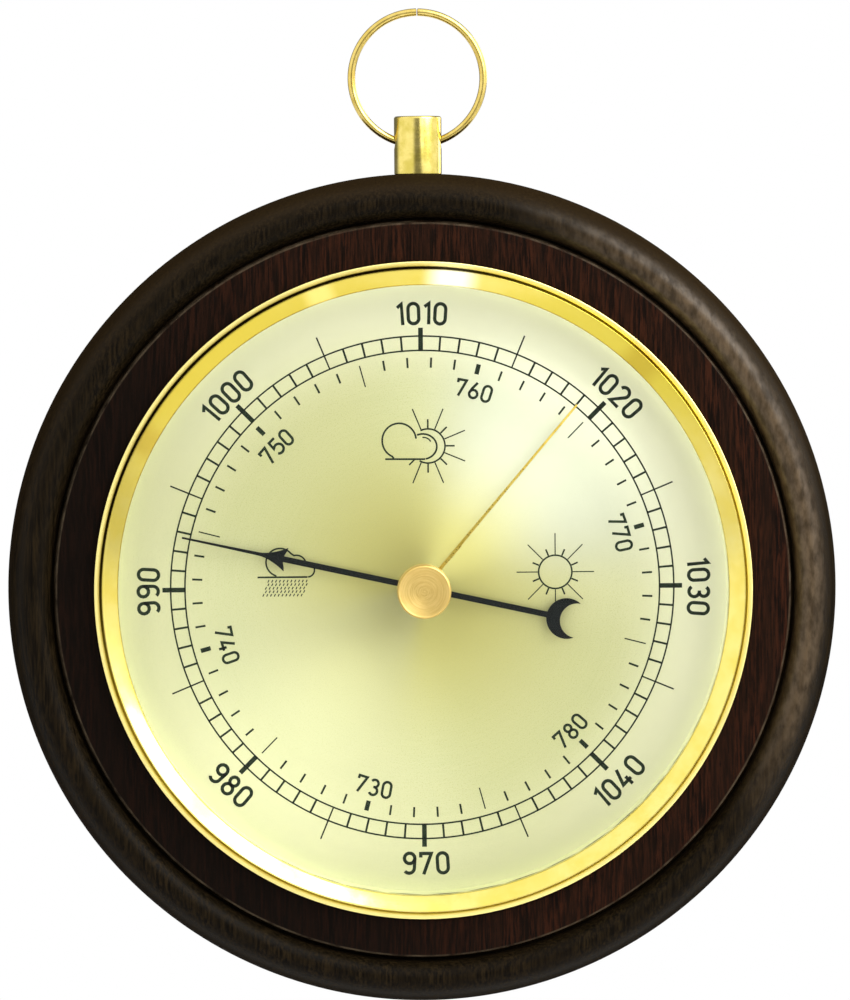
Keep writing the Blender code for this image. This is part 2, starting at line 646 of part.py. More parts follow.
def lever(flex):
    end = LINK_X + LEVER_END
    outline = [(LEVER_ROOT_X, LEVER_BACK), (end, LEVER_BACK), (end, LEVER_FRONT), (LEVER_ROOT_X, LEVER_FRONT)]
    arm = side_plate("lever_arm", outline, LEVER_HALF_WIDTH, flex, "movement_brass")
    drill(arm, RIVET_RADIUS + GAP, LEVER_BACK - PAST, LEVER_FRONT + PAST, in_flex(RIVET_X, 0))
    join(arm, rod("lever_stub", PIN_RADIUS, *STUB_SPAN, flex, None, in_flex(LINK_X, 0, LINK_TOP), FACING_UP))
    head = LEVER_FRONT + GAP
    top = head + RIVET_HEAD_HEIGHT
    tail = LEAF_TOP - LEAF_THICKNESS - RIVET_TAIL
    profile = [(0, tail), (RIVET_RADIUS, tail), (RIVET_RADIUS, head), (RIVET_HEAD, head)]
    profile += [(RIVET_HEAD - RIVET_BEVEL, top), (0, top)]
    turned("lever_rivet", profile, flex, "zinc_steel", in_flex(RIVET_X, 0), steps=TINY_STEPS)


def link_bar(frame):
    slide = empty("link_axis", frame, (LINK_X, 0, SHAFT_HEIGHT))
    length = LINK_TOP - SHAFT_HEIGHT
    outline = [(x, y + length / 2) for x, y in stadium(length / 2 + LINK_HALF_WIDTH, LINK_HALF_WIDTH)]
    bar = extruded("link_bar", outline, *LINK_SPAN, slide, "movement_brass", turn=FACING_DOWN)
    for height in (0, length):
        drill(bar, LINK_HOLE_RADIUS, -LINK_SPAN[1] - PAST, -LINK_SPAN[0] + PAST, (0, 0, height), FACING_UP)


def rocking_group(frame):
    """The rocking shaft runs along Y. The link turns its crank, and its tall arm pulls the chain."""
    pivot = empty("rocking_axis", frame, (SHAFT_X, 0, SHAFT_HEIGHT))
    half = SHAFT_HALF_LENGTH
    end = half + PIVOT_LENGTH
    profile = [(0, -end), (PIVOT_RADIUS, -end), (PIVOT_RADIUS, -half), (SHAFT_RADIUS, -half)]
    profile += [(SHAFT_RADIUS, half), (PIVOT_RADIUS, half), (PIVOT_RADIUS, end), (0, end)]
    turned("rocking_shaft", profile, pivot, "zinc_steel", turn=FACING_UP, steps=TINY_STEPS)
    reach = LINK_X - SHAFT_X
    crank = collared_arm("crank_arm", pivot, CRANK_SPAN, (reach - 2 * ARM_HALF, -ARM_HALF), (0, ARM_HALF))
    join(crank, rod("crank_stub", PIN_RADIUS, *STUB_SPAN, pivot, None, (reach, 0, 0), FACING_UP))
    drill(crank, SHAFT_RADIUS + GAP, CRANK_SPAN[0] - PAST, CRANK_SPAN[1] + PAST, turn=FACING_UP)
    top = CHAIN_HEIGHT - SHAFT_HEIGHT + CHAIN_ARM_TOP
    span = (CHAIN_ARM_Y - 1, CHAIN_ARM_Y + 1)
    arm = collared_arm("chain_arm", pivot, span, (-ARM_HALF, 0), (ARM_HALF, top))
    drill(arm, SHAFT_RADIUS + GAP, span[0] - PAST, span[1] + PAST, turn=FACING_UP)


def collared_arm(name, pivot, span, low, high):
    """A collar round the shaft over the span of Y, joined with a bar from low to high in X and Z."""
    collar = rod(
        name, COLLAR_RADIUS, span[0], span[1], pivot, "movement_brass", turn=FACING_UP, steps=SMALL_STEPS
    )
    join(collar, box(f"{name}_bar", (low[0], span[0], low[1]), (high[0], span[1], high[1]), pivot))
    return collar


def pivot_brackets(frame):
    top = SHAFT_HEIGHT + BRACKET_ABOVE_SHAFT
    inner = SHAFT_HALF_LENGTH + BRACKET_PLAY
    sheet = BRACKET_SHEET
    foot = FLOOR + sheet
    profile = [(0, FLOOR), (BRACKET_FOOT, FLOOR), (BRACKET_FOOT, foot), (sheet, foot), (sheet, top), (0, top)]
    names = {1: "upper", -1: "lower"}
    for side, word in names.items():
        outline = [(side * (inner + y), height) for y, height in profile]
        # the outline lies in Y and Z, and the plate is raised along X
        bracket = extruded(
            f"pivot_bracket_{word}",
            outline,
            BRACKET_X - BRACKET_HALF_WIDTH,
            BRACKET_X + BRACKET_HALF_WIDTH,
            frame,
            "movement_brass",
            turn=(math.pi / 2, 0, math.pi / 2),
        )
        middle = side * (inner + sheet / 2)
        through = (middle - PAST - sheet / 2, middle + PAST + sheet / 2)
        drill(bracket, PIVOT_RADIUS + GAP, *through, (SHAFT_X, 0, SHAFT_HEIGHT), FACING_UP)
        place = (BRACKET_X, side * BRACKET_SCREW_Y, 0)
        drill(bracket, SMALL_SCREW_RADIUS + SCREW_CLEARANCE, FLOOR - PAST, foot + PAST, place)
        small_screw(f"bracket_screw_{word}", frame, place, foot + GAP)


def chain(frame):
    """The chain runs from the tall arm to the drum, as a thin line with swellings for its links."""
    start = Vector((SHAFT_X - ARM_HALF - GAP, CHAIN_ARM_Y))
    end = Vector((0, -CHAIN_WRAP_RADIUS))
    length = (end - start).length
    pitch = length / CHAIN_LINKS
    neck = CHAIN_RADIUS * 0.6
    profile = [(0, 0)]
    for link in range(CHAIN_LINKS):
        middle = pitch * (link + 0.5)
        profile.append((neck, middle - pitch / 3))
        profile += [(CHAIN_RADIUS, middle - pitch / 7), (CHAIN_RADIUS, middle + pitch / 7)]
    profile += [(neck, length - neck), (0, length)]
    heading = math.atan2(end.y - start.y, end.x - start.x)
    frame_of_chain = empty("chain_frame", frame, (start.x, start.y, CHAIN_HEIGHT), (0, 0, heading))
    turned("chain", profile, frame_of_chain, "zinc_steel", turn=FACING_RIGHT, steps=5)


def arbor_bridges(frame):
    bar = stadium(BRIDGE_PILLAR_Y + BRIDGE_END, BRIDGE_HALF_WIDTH)
    levels = {
        # name: (back face, centre hole, pillar hole)
        "lower_bridge": (LOWER_BRIDGE, PIN_RADIUS + GAP, BRIDGE_NECK_RADIUS + GAP),
        "upper_bridge": (UPPER_BRIDGE, STAFF_RADIUS + GAP, SMALL_SCREW_RADIUS + GAP),
    }
    for name, (low, centre_hole, pillar_hole) in levels.items():
        bridge = extruded(name, bar, low, low + BRIDGE_THICKNESS, frame, "movement_brass")
        through = (low - PAST, low + BRIDGE_THICKNESS + PAST)
        drill(bridge, centre_hole, *through)
        for side in (-1, 1):
            drill(bridge, pillar_hole, *through, (0, side * BRIDGE_PILLAR_Y, 0))
    shoulder = LOWER_BRIDGE - GAP
    upper_shoulder = UPPER_BRIDGE - GAP
    top = DIAL_FRONT - DIAL_THICKNESS - GAP
    neck = BRIDGE_NECK_RADIUS
    profile = [(0, FLOOR), (PILLAR_RADIUS, FLOOR), (PILLAR_RADIUS, shoulder), (neck, shoulder)]
    profile += [(neck, upper_shoulder), (SMALL_SCREW_RADIUS, upper_shoulder)]
    profile += [(SMALL_SCREW_RADIUS, top), (0, top)]
    nut_low = UPPER_BRIDGE + BRIDGE_THICKNESS + GAP
    for side, word in ((1, "upper"), (-1, "lower")):
        place = (0, side * BRIDGE_PILLAR_Y, 0)
        turned(f"bridge_pillar_{word}", profile, frame, "movement_brass", place, steps=SMALL_STEPS)
        nut_high = nut_low + NUT_HEIGHT
        nut = rod(f"bridge_nut_{word}", NUT_RADIUS, nut_low, nut_high, frame, "zinc_steel", place, steps=6)
        drill(nut, SMALL_SCREW_RADIUS + GAP, nut_low - PAST, nut_high + PAST, place)


def pointer_group(frame):
    pivot = empty("pointer_axis", frame, turn=(0, 0, math.radians(POINTER_REST_DEG)))
    foot = LOWER_BRIDGE + 0.1
    shoulder = LOWER_BRIDGE + BRIDGE_THICKNESS + GAP
    collet_low = HAIRSPRING_BACK - 0.2
    collet_high = HAIRSPRING_BACK + HAIRSPRING_HEIGHT + 0.1
    top = POINTER_BACK + STAFF_ABOVE_POINTER
    profile = [
        (0, foot),
        (PIN_RADIUS, foot),
        (PIN_RADIUS, shoulder),
        (DRUM_FLANGE, shoulder),
        (DRUM_FLANGE, CHAIN_HEIGHT - DRUM_HALF),
        (DRUM_RADIUS, CHAIN_HEIGHT - DRUM_HALF),
        (DRUM_RADIUS, CHAIN_HEIGHT + DRUM_HALF),
        (DRUM_FLANGE, CHAIN_HEIGHT + DRUM_HALF),
        (DRUM_FLANGE, collet_low),
        (COLLET_RADIUS, collet_low),
        (COLLET_RADIUS, collet_high),
        (STAFF_RADIUS, collet_high),
        (STAFF_RADIUS, top),
        (0, top),
    ]
    turned("pointer_arbor", profile, pivot, "zinc_steel", steps=TINY_STEPS)
    front = POINTER_BACK + POINTER_THICKNESS
    hand = extruded("pointer", pointer_outline(), POINTER_BACK, front, pivot, "black_paint")
    drill(hand, STAFF_RADIUS + GAP, POINTER_BACK - PAST, front + PAST, steps=SMALL_STEPS)
    hairspring(pivot)


def pointer_outline():
    """The right edge from the tip down, the moon tail, and the left edge back up."""
    horn_y, horn_x = moon_horns()
    join_deg = math.degrees(math.asin(SHAFT_HALF / MOON_RADIUS))
    horn_deg = math.degrees(math.atan2(horn_x, horn_y - MOON_CENTRE))
    bite_deg = math.degrees(math.atan2(horn_x, horn_y - MOON_BITE_CENTRE))
    right = [(SHAFT_TIP_HALF, POINTER_TIP), (SHAFT_ARROW_HALF, ARROW_POINT), (ARROW_HALF_WIDTH, ARROW_BASE)]
    right += [(SHAFT_HALF, ARROW_NOTCH)]
    hub_deg = math.degrees(math.acos(SHAFT_HALF / HUB_RADIUS))
    right += arc((0, 0), (HUB_RADIUS, HUB_RADIUS), hub_deg, -hub_deg, 12)
    # the moon lies below the hub: angles are measured from the pointer's axis, pointing down
    for degrees in steps_between(180 - join_deg, horn_deg, 10):
        angle = math.radians(degrees)
        right.append((MOON_RADIUS * math.sin(angle), -MOON_CENTRE - MOON_RADIUS * math.cos(angle)))
    for degrees in steps_between(bite_deg, 180, 8)[1:-1]:
        angle = math.radians(degrees)
        x = MOON_BITE_RADIUS * math.sin(angle)
        right.append((x, -MOON_BITE_CENTRE - MOON_BITE_RADIUS * math.cos(angle)))
    bottom = (0, -MOON_BITE_CENTRE + MOON_BITE_RADIUS)
    left = [(-x, y) for x, y in reversed(right)]
    return right + [bottom] + left


def moon_horns():
    """Where the moon's two circles cross, as (distance down the tail, half width)."""
    apart = MOON_BITE_CENTRE - MOON_CENTRE
    along = (apart**2 + MOON_RADIUS**2 - MOON_BITE_RADIUS**2) / (2 * apart)
    return MOON_CENTRE + along, math.sqrt(MOON_RADIUS**2 - along**2)


def steps_between(start, end, count):
    return [start + (end - start) * step / count for step in range(count + 1)]


def hairspring(pivot):
    """A flat spiral ribbon from the collet to its stud."""
    bm = bmesh.new()
    rings = []
    count = int(HAIRSPRING_TURNS * SMALL_STEPS)
    stud_angle = math.radians(90 - POINTER_REST_DEG)
    for step in range(count + 1):
        share = step / count
        angle = stud_angle - (1 - share) * HAIRSPRING_TURNS * math.tau
        middle = HAIRSPRING_INNER + share * (HAIRSPRING_OUTER - HAIRSPRING_INNER)
        ring = []
        for radius, height in washer(-HAIRSPRING_HALF, HAIRSPRING_HALF, 0, HAIRSPRING_HEIGHT):
            x = (middle + radius) * math.cos(angle)
            y = (middle + radius) * math.sin(angle)
            ring.append(bm.verts.new(scaled(x, y, HAIRSPRING_BACK + height)))
        rings.append(ring)
    for first, second in zip(rings, rings[1:]):
        for side in range(4):
            after = (side + 1) % 4
            bm.faces.new((first[side], first[after], second[after], second[side]))
    bm.faces.new(rings[0])
    bm.faces.new(list(reversed(rings[-1])))
    finished("hairspring", bm, pivot, "spring_bronze", (0, 0, 0), (0, 0, 0))


def hairspring_stud(frame):
    low = HAIRSPRING_BACK - GAP
    place = (0, HAIRSPRING_OUTER + HAIRSPRING_STUD_RADIUS + 0.4, 0)
    rod("hairspring_stud", HAIRSPRING_STUD_RADIUS, low, UPPER_BRIDGE - GAP, frame, "movement_brass", place)


def dial_plate(frame):
    profile = washer(DIAL_HOLE_RADIUS, DIAL_RADIUS, DIAL_FRONT - DIAL_THICKNESS, DIAL_FRONT)
    turned("dial_plate", profile, frame, "champagne_aluminium")


def set_hand_group(frame):
    """Knob, spindle and set hand turn together in the bush of the glass."""
    pivot = empty("set_axis", frame, turn=(0, 0, math.radians(SET_HAND_REST_DEG)))
    socket = SPINDLE_RADIUS + GAP
    socket_end = KNOB_FRONT - KNOB_CROWN
    knob = [
        (0, socket_end),
        (socket, socket_end),
        (socket, KNOB_BACK),
        (KNOB_RADIUS - KNOB_BACK_BEVEL, KNOB_BACK),
        (KNOB_RADIUS, KNOB_BACK + KNOB_BACK_BEVEL),
        (KNOB_RADIUS, KNOB_FRONT - KNOB_BEVEL),
        (KNOB_RADIUS - KNOB_BEVEL, KNOB_FRONT),
        (0, KNOB_FRONT),
    ]
    turned("set_knob", knob, pivot, "turned_brass", steps=SMALL_STEPS * 2)
    seat = SET_HAND_BACK - GAP
    low = seat - SPINDLE_FLANGE_HEIGHT
    spindle = [
        (0, low),
        (SPINDLE_FLANGE, low),
        (SPINDLE_FLANGE, seat),
        (SPINDLE_RADIUS, seat),
        (SPINDLE_RADIUS, socket_end - GAP),
        (0, socket_end - GAP),
    ]
    turned("set_spindle", spindle, pivot, "turned_brass", steps=SMALL_STEPS)
    hub_deg = math.degrees(math.asin(SET_HAND_HALF / HUB_RADIUS))
    outline = arc((0, 0), (HUB_RADIUS, HUB_RADIUS), 90 + hub_deg, 450 - hub_deg, 20)
    outline += [(SET_HAND_HALF, SET_HAND_TIP), (-SET_HAND_HALF, SET_HAND_TIP)]
    high = SET_HAND_BACK + SET_HAND_THICKNESS
    hand = extruded("set_hand", outline, SET_HAND_BACK, high, pivot, "polished_brass")
    drill(hand, SPINDLE_RADIUS + GAP, SET_HAND_BACK - PAST, high + PAST, steps=SMALL_STEPS)


def spindle_bush(frame):
    inside = SPINDLE_RADIUS + GAP
    low = GLASS_BACK - GAP
    profile = [
        (inside, low - BUSH_FLANGE_HEIGHT),
        (BUSH_FLANGE, low - BUSH_FLANGE_HEIGHT),
        (BUSH_FLANGE, low),
        (GLASS_HOLE_RADIUS - GAP, low),
        (GLASS_HOLE_RADIUS - GAP, GLASS_FRONT + GAP),
        (inside, GLASS_FRONT + GAP),
    ]
    turned("spindle_bush", profile, frame, "turned_brass", steps=SMALL_STEPS)


def main():
    clear_scene()
    ring_frame = empty("ring_frame")
    swing = empty("swing_axis", None, (0, 0, SWING_Z))
    # the dial frame hangs from the swing axis, with its own height PLUMB in the plane of the ring
    frame = empty("dial_frame", swing, (0, PLUMB, DIAL_AXIS_Z - SWING_Z), (math.pi / 2, 0, 0))
    travel = empty("capsule_axis", frame)
    flex = empty("flex_axis", frame, FLEX_ORIGIN)
    hanging_ring(ring_frame)
    hanger_post(frame)
    wooden_case(frame)
    bezel(frame)
    glass_and_gasket(frame)
    housing_can(frame)
    clips_and_screws(frame)
    movement_plate(frame)
    calibration_screw(frame)
    capsule(frame, travel)
    mainspring(frame, flex)
    lever(flex)
    link_bar(frame)
    rocking_group(frame)
    pivot_brackets(frame)
    chain(frame)
    arbor_bridges(frame)
    hairspring_stud(frame)
    dial_plate(frame)
    pointer_group(frame)
    set_hand_group(frame)
    spindle_bush(frame)


main()
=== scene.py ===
"""Looks of an aneroid barometer in a turned wooden case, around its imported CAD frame.

The outside pieces are rebuilt finely in mesh code, in millimetres in the dial's own frame: x is right,
y is up and h is the height out of the dial towards the viewer, all from the centre of the dial.
"""

import json
import math

import bmesh
import bpy
from mathutils import Matrix, Vector


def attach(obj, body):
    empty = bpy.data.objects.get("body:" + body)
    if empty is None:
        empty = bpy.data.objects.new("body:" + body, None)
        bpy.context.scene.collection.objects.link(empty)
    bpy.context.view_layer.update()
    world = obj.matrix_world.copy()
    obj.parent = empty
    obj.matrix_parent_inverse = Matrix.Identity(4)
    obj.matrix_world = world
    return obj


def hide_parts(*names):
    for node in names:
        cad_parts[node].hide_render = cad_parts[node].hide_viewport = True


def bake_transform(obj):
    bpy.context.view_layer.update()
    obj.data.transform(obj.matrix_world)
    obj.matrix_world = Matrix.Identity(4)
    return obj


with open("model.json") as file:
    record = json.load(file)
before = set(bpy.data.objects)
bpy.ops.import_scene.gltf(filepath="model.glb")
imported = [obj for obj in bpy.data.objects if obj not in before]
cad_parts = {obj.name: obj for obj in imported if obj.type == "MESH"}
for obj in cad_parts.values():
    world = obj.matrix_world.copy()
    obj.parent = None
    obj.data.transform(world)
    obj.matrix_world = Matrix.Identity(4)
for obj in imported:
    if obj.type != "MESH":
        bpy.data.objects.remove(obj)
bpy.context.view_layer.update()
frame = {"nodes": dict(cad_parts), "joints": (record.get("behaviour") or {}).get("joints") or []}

MM = 0.001
JOINTS = {joint["name"]: joint for joint in frame["joints"]}
AXIS = Vector(JOINTS["pointer_turn"]["pos_m"])
SWING = Vector(JOINTS["case_swing"]["pos_m"])
FINE = 256
MEDIUM = 96
SMALL = 48

# Sizes, in millimetres
CASE_RADIUS = 65.0
CASE_BACK = -17.0
CREST_RADIUS = 60.8  # the bead's crest, and its height
CREST = 13.0
SIDE_TOP = 4.0  # where the straight side ends and the bead begins
VALLEY_RADIUS = 58.0
VALLEY = 9.8
LAND_RADIUS = 57.4
LAND = 11.6
BORE_RADIUS = 49.9
RECESS_RADIUS = 57.0
RECESS = -14.0
BEZEL_SKIRT = 49.6  # the tube of the bezel: its radius, and how far back it reaches
SKIRT_BACK = 4.0
BEZEL_SEAT = LAND + 0.3
GROOVE_INNER = 50.12
GROOVE_OUTER = 50.46
DIAL_FRONT = 4.2
DIAL_BACK = 3.6
DIAL_RADIUS = 48.0
PRINT_LOW = DIAL_FRONT - 0.01
PRINT_HIGH = DIAL_FRONT + 0.02
POST_RADIUS = 3.75
RING_RADIUS = 10.4  # to the wire's middle
WIRE_RADIUS = 0.6
HUB_RADIUS = 2.4
SHEET = 0.3  # the hands' thickness
POINTER_BACK = 5.6
SET_HAND_BACK = 7.6
POINTER_DEG = -77.6
SET_HAND_DEG = 40.3
SCREW_CIRCLE = 33.0
CLIP_SCREW_CIRCLE = 53.4
CAPSULE_BACK = -11.4
CAPSULE_FRONT = -6.9


# ---- shapes


def at(x, y, h):
    """A point of the dial's frame, in the row frame."""
    return Vector((AXIS.x + x * MM, AXIS.y - h * MM, AXIS.z + y * MM))


def polar(radius, degrees):
    """A place on the dial, with the angle clockwise from the top."""
    angle = math.radians(degrees)
    return radius * math.sin(angle), radius * math.cos(angle)


def arc(centre, radii, start_deg, end_deg, steps):
    """Points of an elliptic arc. The angles run anticlockwise from the right."""
    points = []
    for step in range(steps + 1):
        angle = math.radians(start_deg + (end_deg - start_deg) * step / steps)
        points.append((centre[0] + radii[0] * math.cos(angle), centre[1] + radii[1] * math.sin(angle)))
    return points


def placed(name, bm):
    """The mesh as an object in the scene, with its normals outwards."""
    bmesh.ops.recalc_face_normals(bm, faces=bm.faces)
    mesh = bpy.data.meshes.new(name)
    bm.to_mesh(mesh)
    bm.free()
    obj = bpy.data.objects.new(name, mesh)
    bpy.context.scene.collection.objects.link(obj)
    return obj


def soften(mesh, smooth_deg):
    mesh.shade_smooth()
    mesh.set_sharp_from_angle(angle=math.radians(smooth_deg))


def new_object(name, bm, body, look, smooth_deg=30):
    """The mesh as a piece that rides on a body, smooth except where it turns sharply."""
    obj = placed(name, bm)
    soften(obj.data, smooth_deg)
    obj.data.materials.append(look)
    if body:
        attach(obj, body)
    return obj


def lathe(bm, profile, place, steps):
    """Spins a closed (radius, height) profile. place(x, y, height) puts a local point in the row frame."""
    rings = []
    for radius, height in profile:
        if radius < 1e-9:
            rings.append([bm.verts.new(place(0, 0, height))])
            continue
        ring = []
        for step in range(steps):
            angle = math.tau * step / steps
            ring.append(bm.verts.new(place(radius * math.cos(angle), radius * math.sin(angle), height)))
        rings.append(ring)
    for first, second in zip(rings, rings[1:] + rings[:1]):
        if len(first) == 1 and len(second) == 1:
            continue
        for step in range(steps):
            after = (step + 1) % steps
            corners = [first[step % len(first)], first[after % len(first)]]
            corners += [second[after % len(second)], second[step % len(second)]]
            bm.faces.new(list(dict.fromkeys(corners)))


def turned(name, profile, body, look, steps=FINE, place=at, smooth_deg=30):
    """A piece spun from a (radius, height) profile."""
    bm = bmesh.new()
    lathe(bm, profile, place, steps)
    return new_object(name, bm, body, look, smooth_deg)


def skin(bm, rings):
    """Joins rings that have equally many corners."""
    for first, second in zip(rings, rings[1:]):
        for step in range(len(first)):
            after = (step + 1) % len(first)
            bm.faces.new((first[step], first[after], second[after], second[step]))


def slab(bm, outline, low, high, place=at):
    """Raises a closed outline into a plate from low to high."""
    bottom = [bm.verts.new(place(x, y, low)) for x, y in outline]
    top = [bm.verts.new(place(x, y, high)) for x, y in outline]
    bm.faces.new(list(reversed(bottom)))
    bm.faces.new(top)
    skin(bm, [bottom, top])


def rotated(degrees, middle=(0, 0)):
    """A placing function: the dial's frame turned clockwise about its axis, then moved."""
    angle = math.radians(degrees)

    def place(x, y, h):
        turned_x = x * math.cos(angle) + y * math.sin(angle)
        turned_y = y * math.cos(angle) - x * math.sin(angle)
        return at(middle[0] + turned_x, middle[1] + turned_y, h)

    return place


def plug(bm, radius, low, high, place):
    """A plain cylinder, to cut a hole with."""
    lathe(bm, [(0, low), (radius, low), (radius, high), (0, high)], place, SMALL)


def cut(obj, bm):
    """Cuts a helper's shape out of a piece, and keeps the result as the piece's own mesh."""
    helper = placed("cutter", bm)
    modifier = obj.modifiers.new("cut", "BOOLEAN")
    modifier.operation = "DIFFERENCE"
    modifier.solver = "EXACT"
    modifier.object = helper
    bpy.context.view_layer.update()
    made = bpy.data.meshes.new_from_object(obj.evaluated_get(bpy.context.evaluated_depsgraph_get()))
    obj.modifiers.clear()
    obj.data = made
    soften(made, 30)
    bpy.data.objects.remove(helper)


def break_edges(bm, depth, width, profile):
    """Rounds the edges of a slab's flat face that lies at one depth along the row frame's Y."""
    edges = [edge for edge in bm.edges if all(abs(vert.co.y - depth) < 1e-6 for vert in edge.verts)]
    bmesh.ops.bevel(bm, geom=edges, offset=width * MM, segments=2, profile=profile, affect="EDGES",
                    clamp_overlap=True)


def strip(bm, points, width, place=at):
    """A printed line along points, with mitred corners. It closes when its last point is its first."""
    closed = (Vector(points[0]) - Vector(points[-1])).length < 1e-6
    points = points[:-1] if closed else points
    count = len(points)
    left, right = [], []
    for index, point in enumerate(points):
        here = Vector(point)
        before = Vector(points[index - 1]) if index or closed else None
        after = Vector(points[(index + 1) % count]) if index < count - 1 or closed else None
        into = (here - before).normalized() if before else (after - here).normalized()
        out = (after - here).normalized() if after else into
        along = (into + out).normalized()
        side = Vector((-along.y, along.x))
        reach = width / 2 / max(0.5, abs(side.dot(Vector((-into.y, into.x)))))
        left.append(here + side * reach)
        right.append(here - side * reach)
    if not closed:
        slab(bm, left + right[::-1], PRINT_LOW, PRINT_HIGH, place)
        return
    corners = []
    for near, far in zip(left, right):
        row = ((near, PRINT_LOW), (near, PRINT_HIGH), (far, PRINT_HIGH), (far, PRINT_LOW))
        corners.append([bm.verts.new(place(*point, height)) for point, height in row])
    skin(bm, corners + corners[:1])


# ---- materials


def named(constants):
    """Shader sockets by their keyword: specular_ior_level is Specular IOR Level."""
    return {key.replace("_", " ").title().replace("Ior", "IOR"): value for key, value in constants.items()}


class Nodes:
    """A node tree being built. A socket is fed with a constant or with another node's output."""

    def __init__(self, tree):
        self.tree = tree

    def feed(self, node, sockets):
        for key, value in sockets.items():
            socket = node.inputs[key]
            if isinstance(value, bpy.types.NodeSocket):
                self.tree.links.new(value, socket)
            else:
                socket.default_value = value

    def add(self, kind, sockets=None, out=0, **settings):
        made = self.tree.nodes.new("ShaderNode" + kind)
        for key, value in settings.items():
            setattr(made, key, value)
        self.feed(made, sockets or {})
        return made.outputs[out]

    def vector(self, operation, first, second, out=0):
        return self.add("VectorMath", {0: first, 1: second}, out, operation=operation)

    def math(self, operation, first, second=0.0, clamp=False):
        return self.add("Math", {0: first, 1: second}, operation=operation, use_clamp=clamp)

    def noise(self, vector, scale=1.0, detail=3.0, roughness=0.55):
        values = {"Vector": vector, "Scale": scale, "Detail": detail, "Roughness": roughness}
        return self.add("TexNoise", values)

    def remap(self, value, low, high, to_low=0.0, to_high=1.0, kind="LINEAR"):
        values = {"Value": value, "From Min": low, "From Max": high, "To Min": to_low, "To Max": to_high}
        return self.add("MapRange", values, interpolation_type=kind)

    def smooth(self, value, low, high, to_low=0.0, to_high=1.0):
        return self.remap(value, low, high, to_low, to_high, "SMOOTHSTEP")

    def times(self, first, second):
        return self.math("MULTIPLY", first, second)

    def mix(self, factor, *colours):
        first, second = (one if isinstance(one, bpy.types.NodeSocket) else (*one, 1.0) for one in colours)
        return self.add("Mix", {0: factor, 6: first, 7: second}, 2, data_type="RGBA")


class Look(Nodes):
    """A material being built. Constants go on the shader's own sockets, and patterns are added as nodes."""

    def __init__(self, name, **constants):
        self.material = bpy.data.materials.new(name)
        self.material.use_nodes = True
        super().__init__(self.material.node_tree)
        self.shader = self.tree.nodes["Principled BSDF"]
        self.feed(self.shader, named(constants))
        self.place = None

    def spot(self):
        """The place on the piece, in millimetres from the dial's centre, along the row frame's axes."""
        if self.place is None:
            moved = self.vector("SUBTRACT", self.add("TexCoord", out="Object"), AXIS)
            self.place = self.vector("MULTIPLY", moved, [1 / MM] * 3)
        return self.place

    def stretched(self, x, y, z):
        return self.vector("MULTIPLY", self.spot(), (x, y, z))

    def along(self, way):
        """How far the place lies in one direction."""
        return self.vector("DOT_PRODUCT", self.spot(), way, "Value")

    def radius(self):
        """The distance from the dial's axis."""
        return self.add("VectorMath", {0: self.stretched(1, 0, 1)}, "Value", operation="LENGTH")

    def towards(self, degrees):
        """The cosine of the angle round the dial's axis to a direction, clockwise from the top."""
        x, y = polar(1.0, degrees)
        return self.math("DIVIDE", self.along((x, 0.0, y)), self.radius())

    def bump(self, height, strength, distance, normal=None):
        values = {"Height": height, "Strength": strength, "Distance": distance * MM}
        if normal is not None:
            values["Normal"] = normal
        return self.add("Bump", values)

    def finish(self, **sockets):
        self.feed(self.shader, named(sockets))
        return self.material

    def finish_turned(self, **sockets):
        """For brushed metal: its grain runs round the dial's axis."""
        return self.finish(tangent=self.add("Tangent", direction_type="RADIAL", axis="Y"), **sockets)


def polar_grain(look, per_mm, per_turn):
    """Coordinates that are fine across the radius and long round the dial, without a seam."""
    radius = look.radius()
    unit = look.add("VectorMath", {0: look.stretched(1, 0, 1)}, operation="NORMALIZE")
    around = look.vector("MULTIPLY", unit, (per_turn, 0, per_turn))
    lifted = look.add("CombineXYZ", {"Y": look.times(radius, per_mm)})
    return look.vector("ADD", around, lifted)


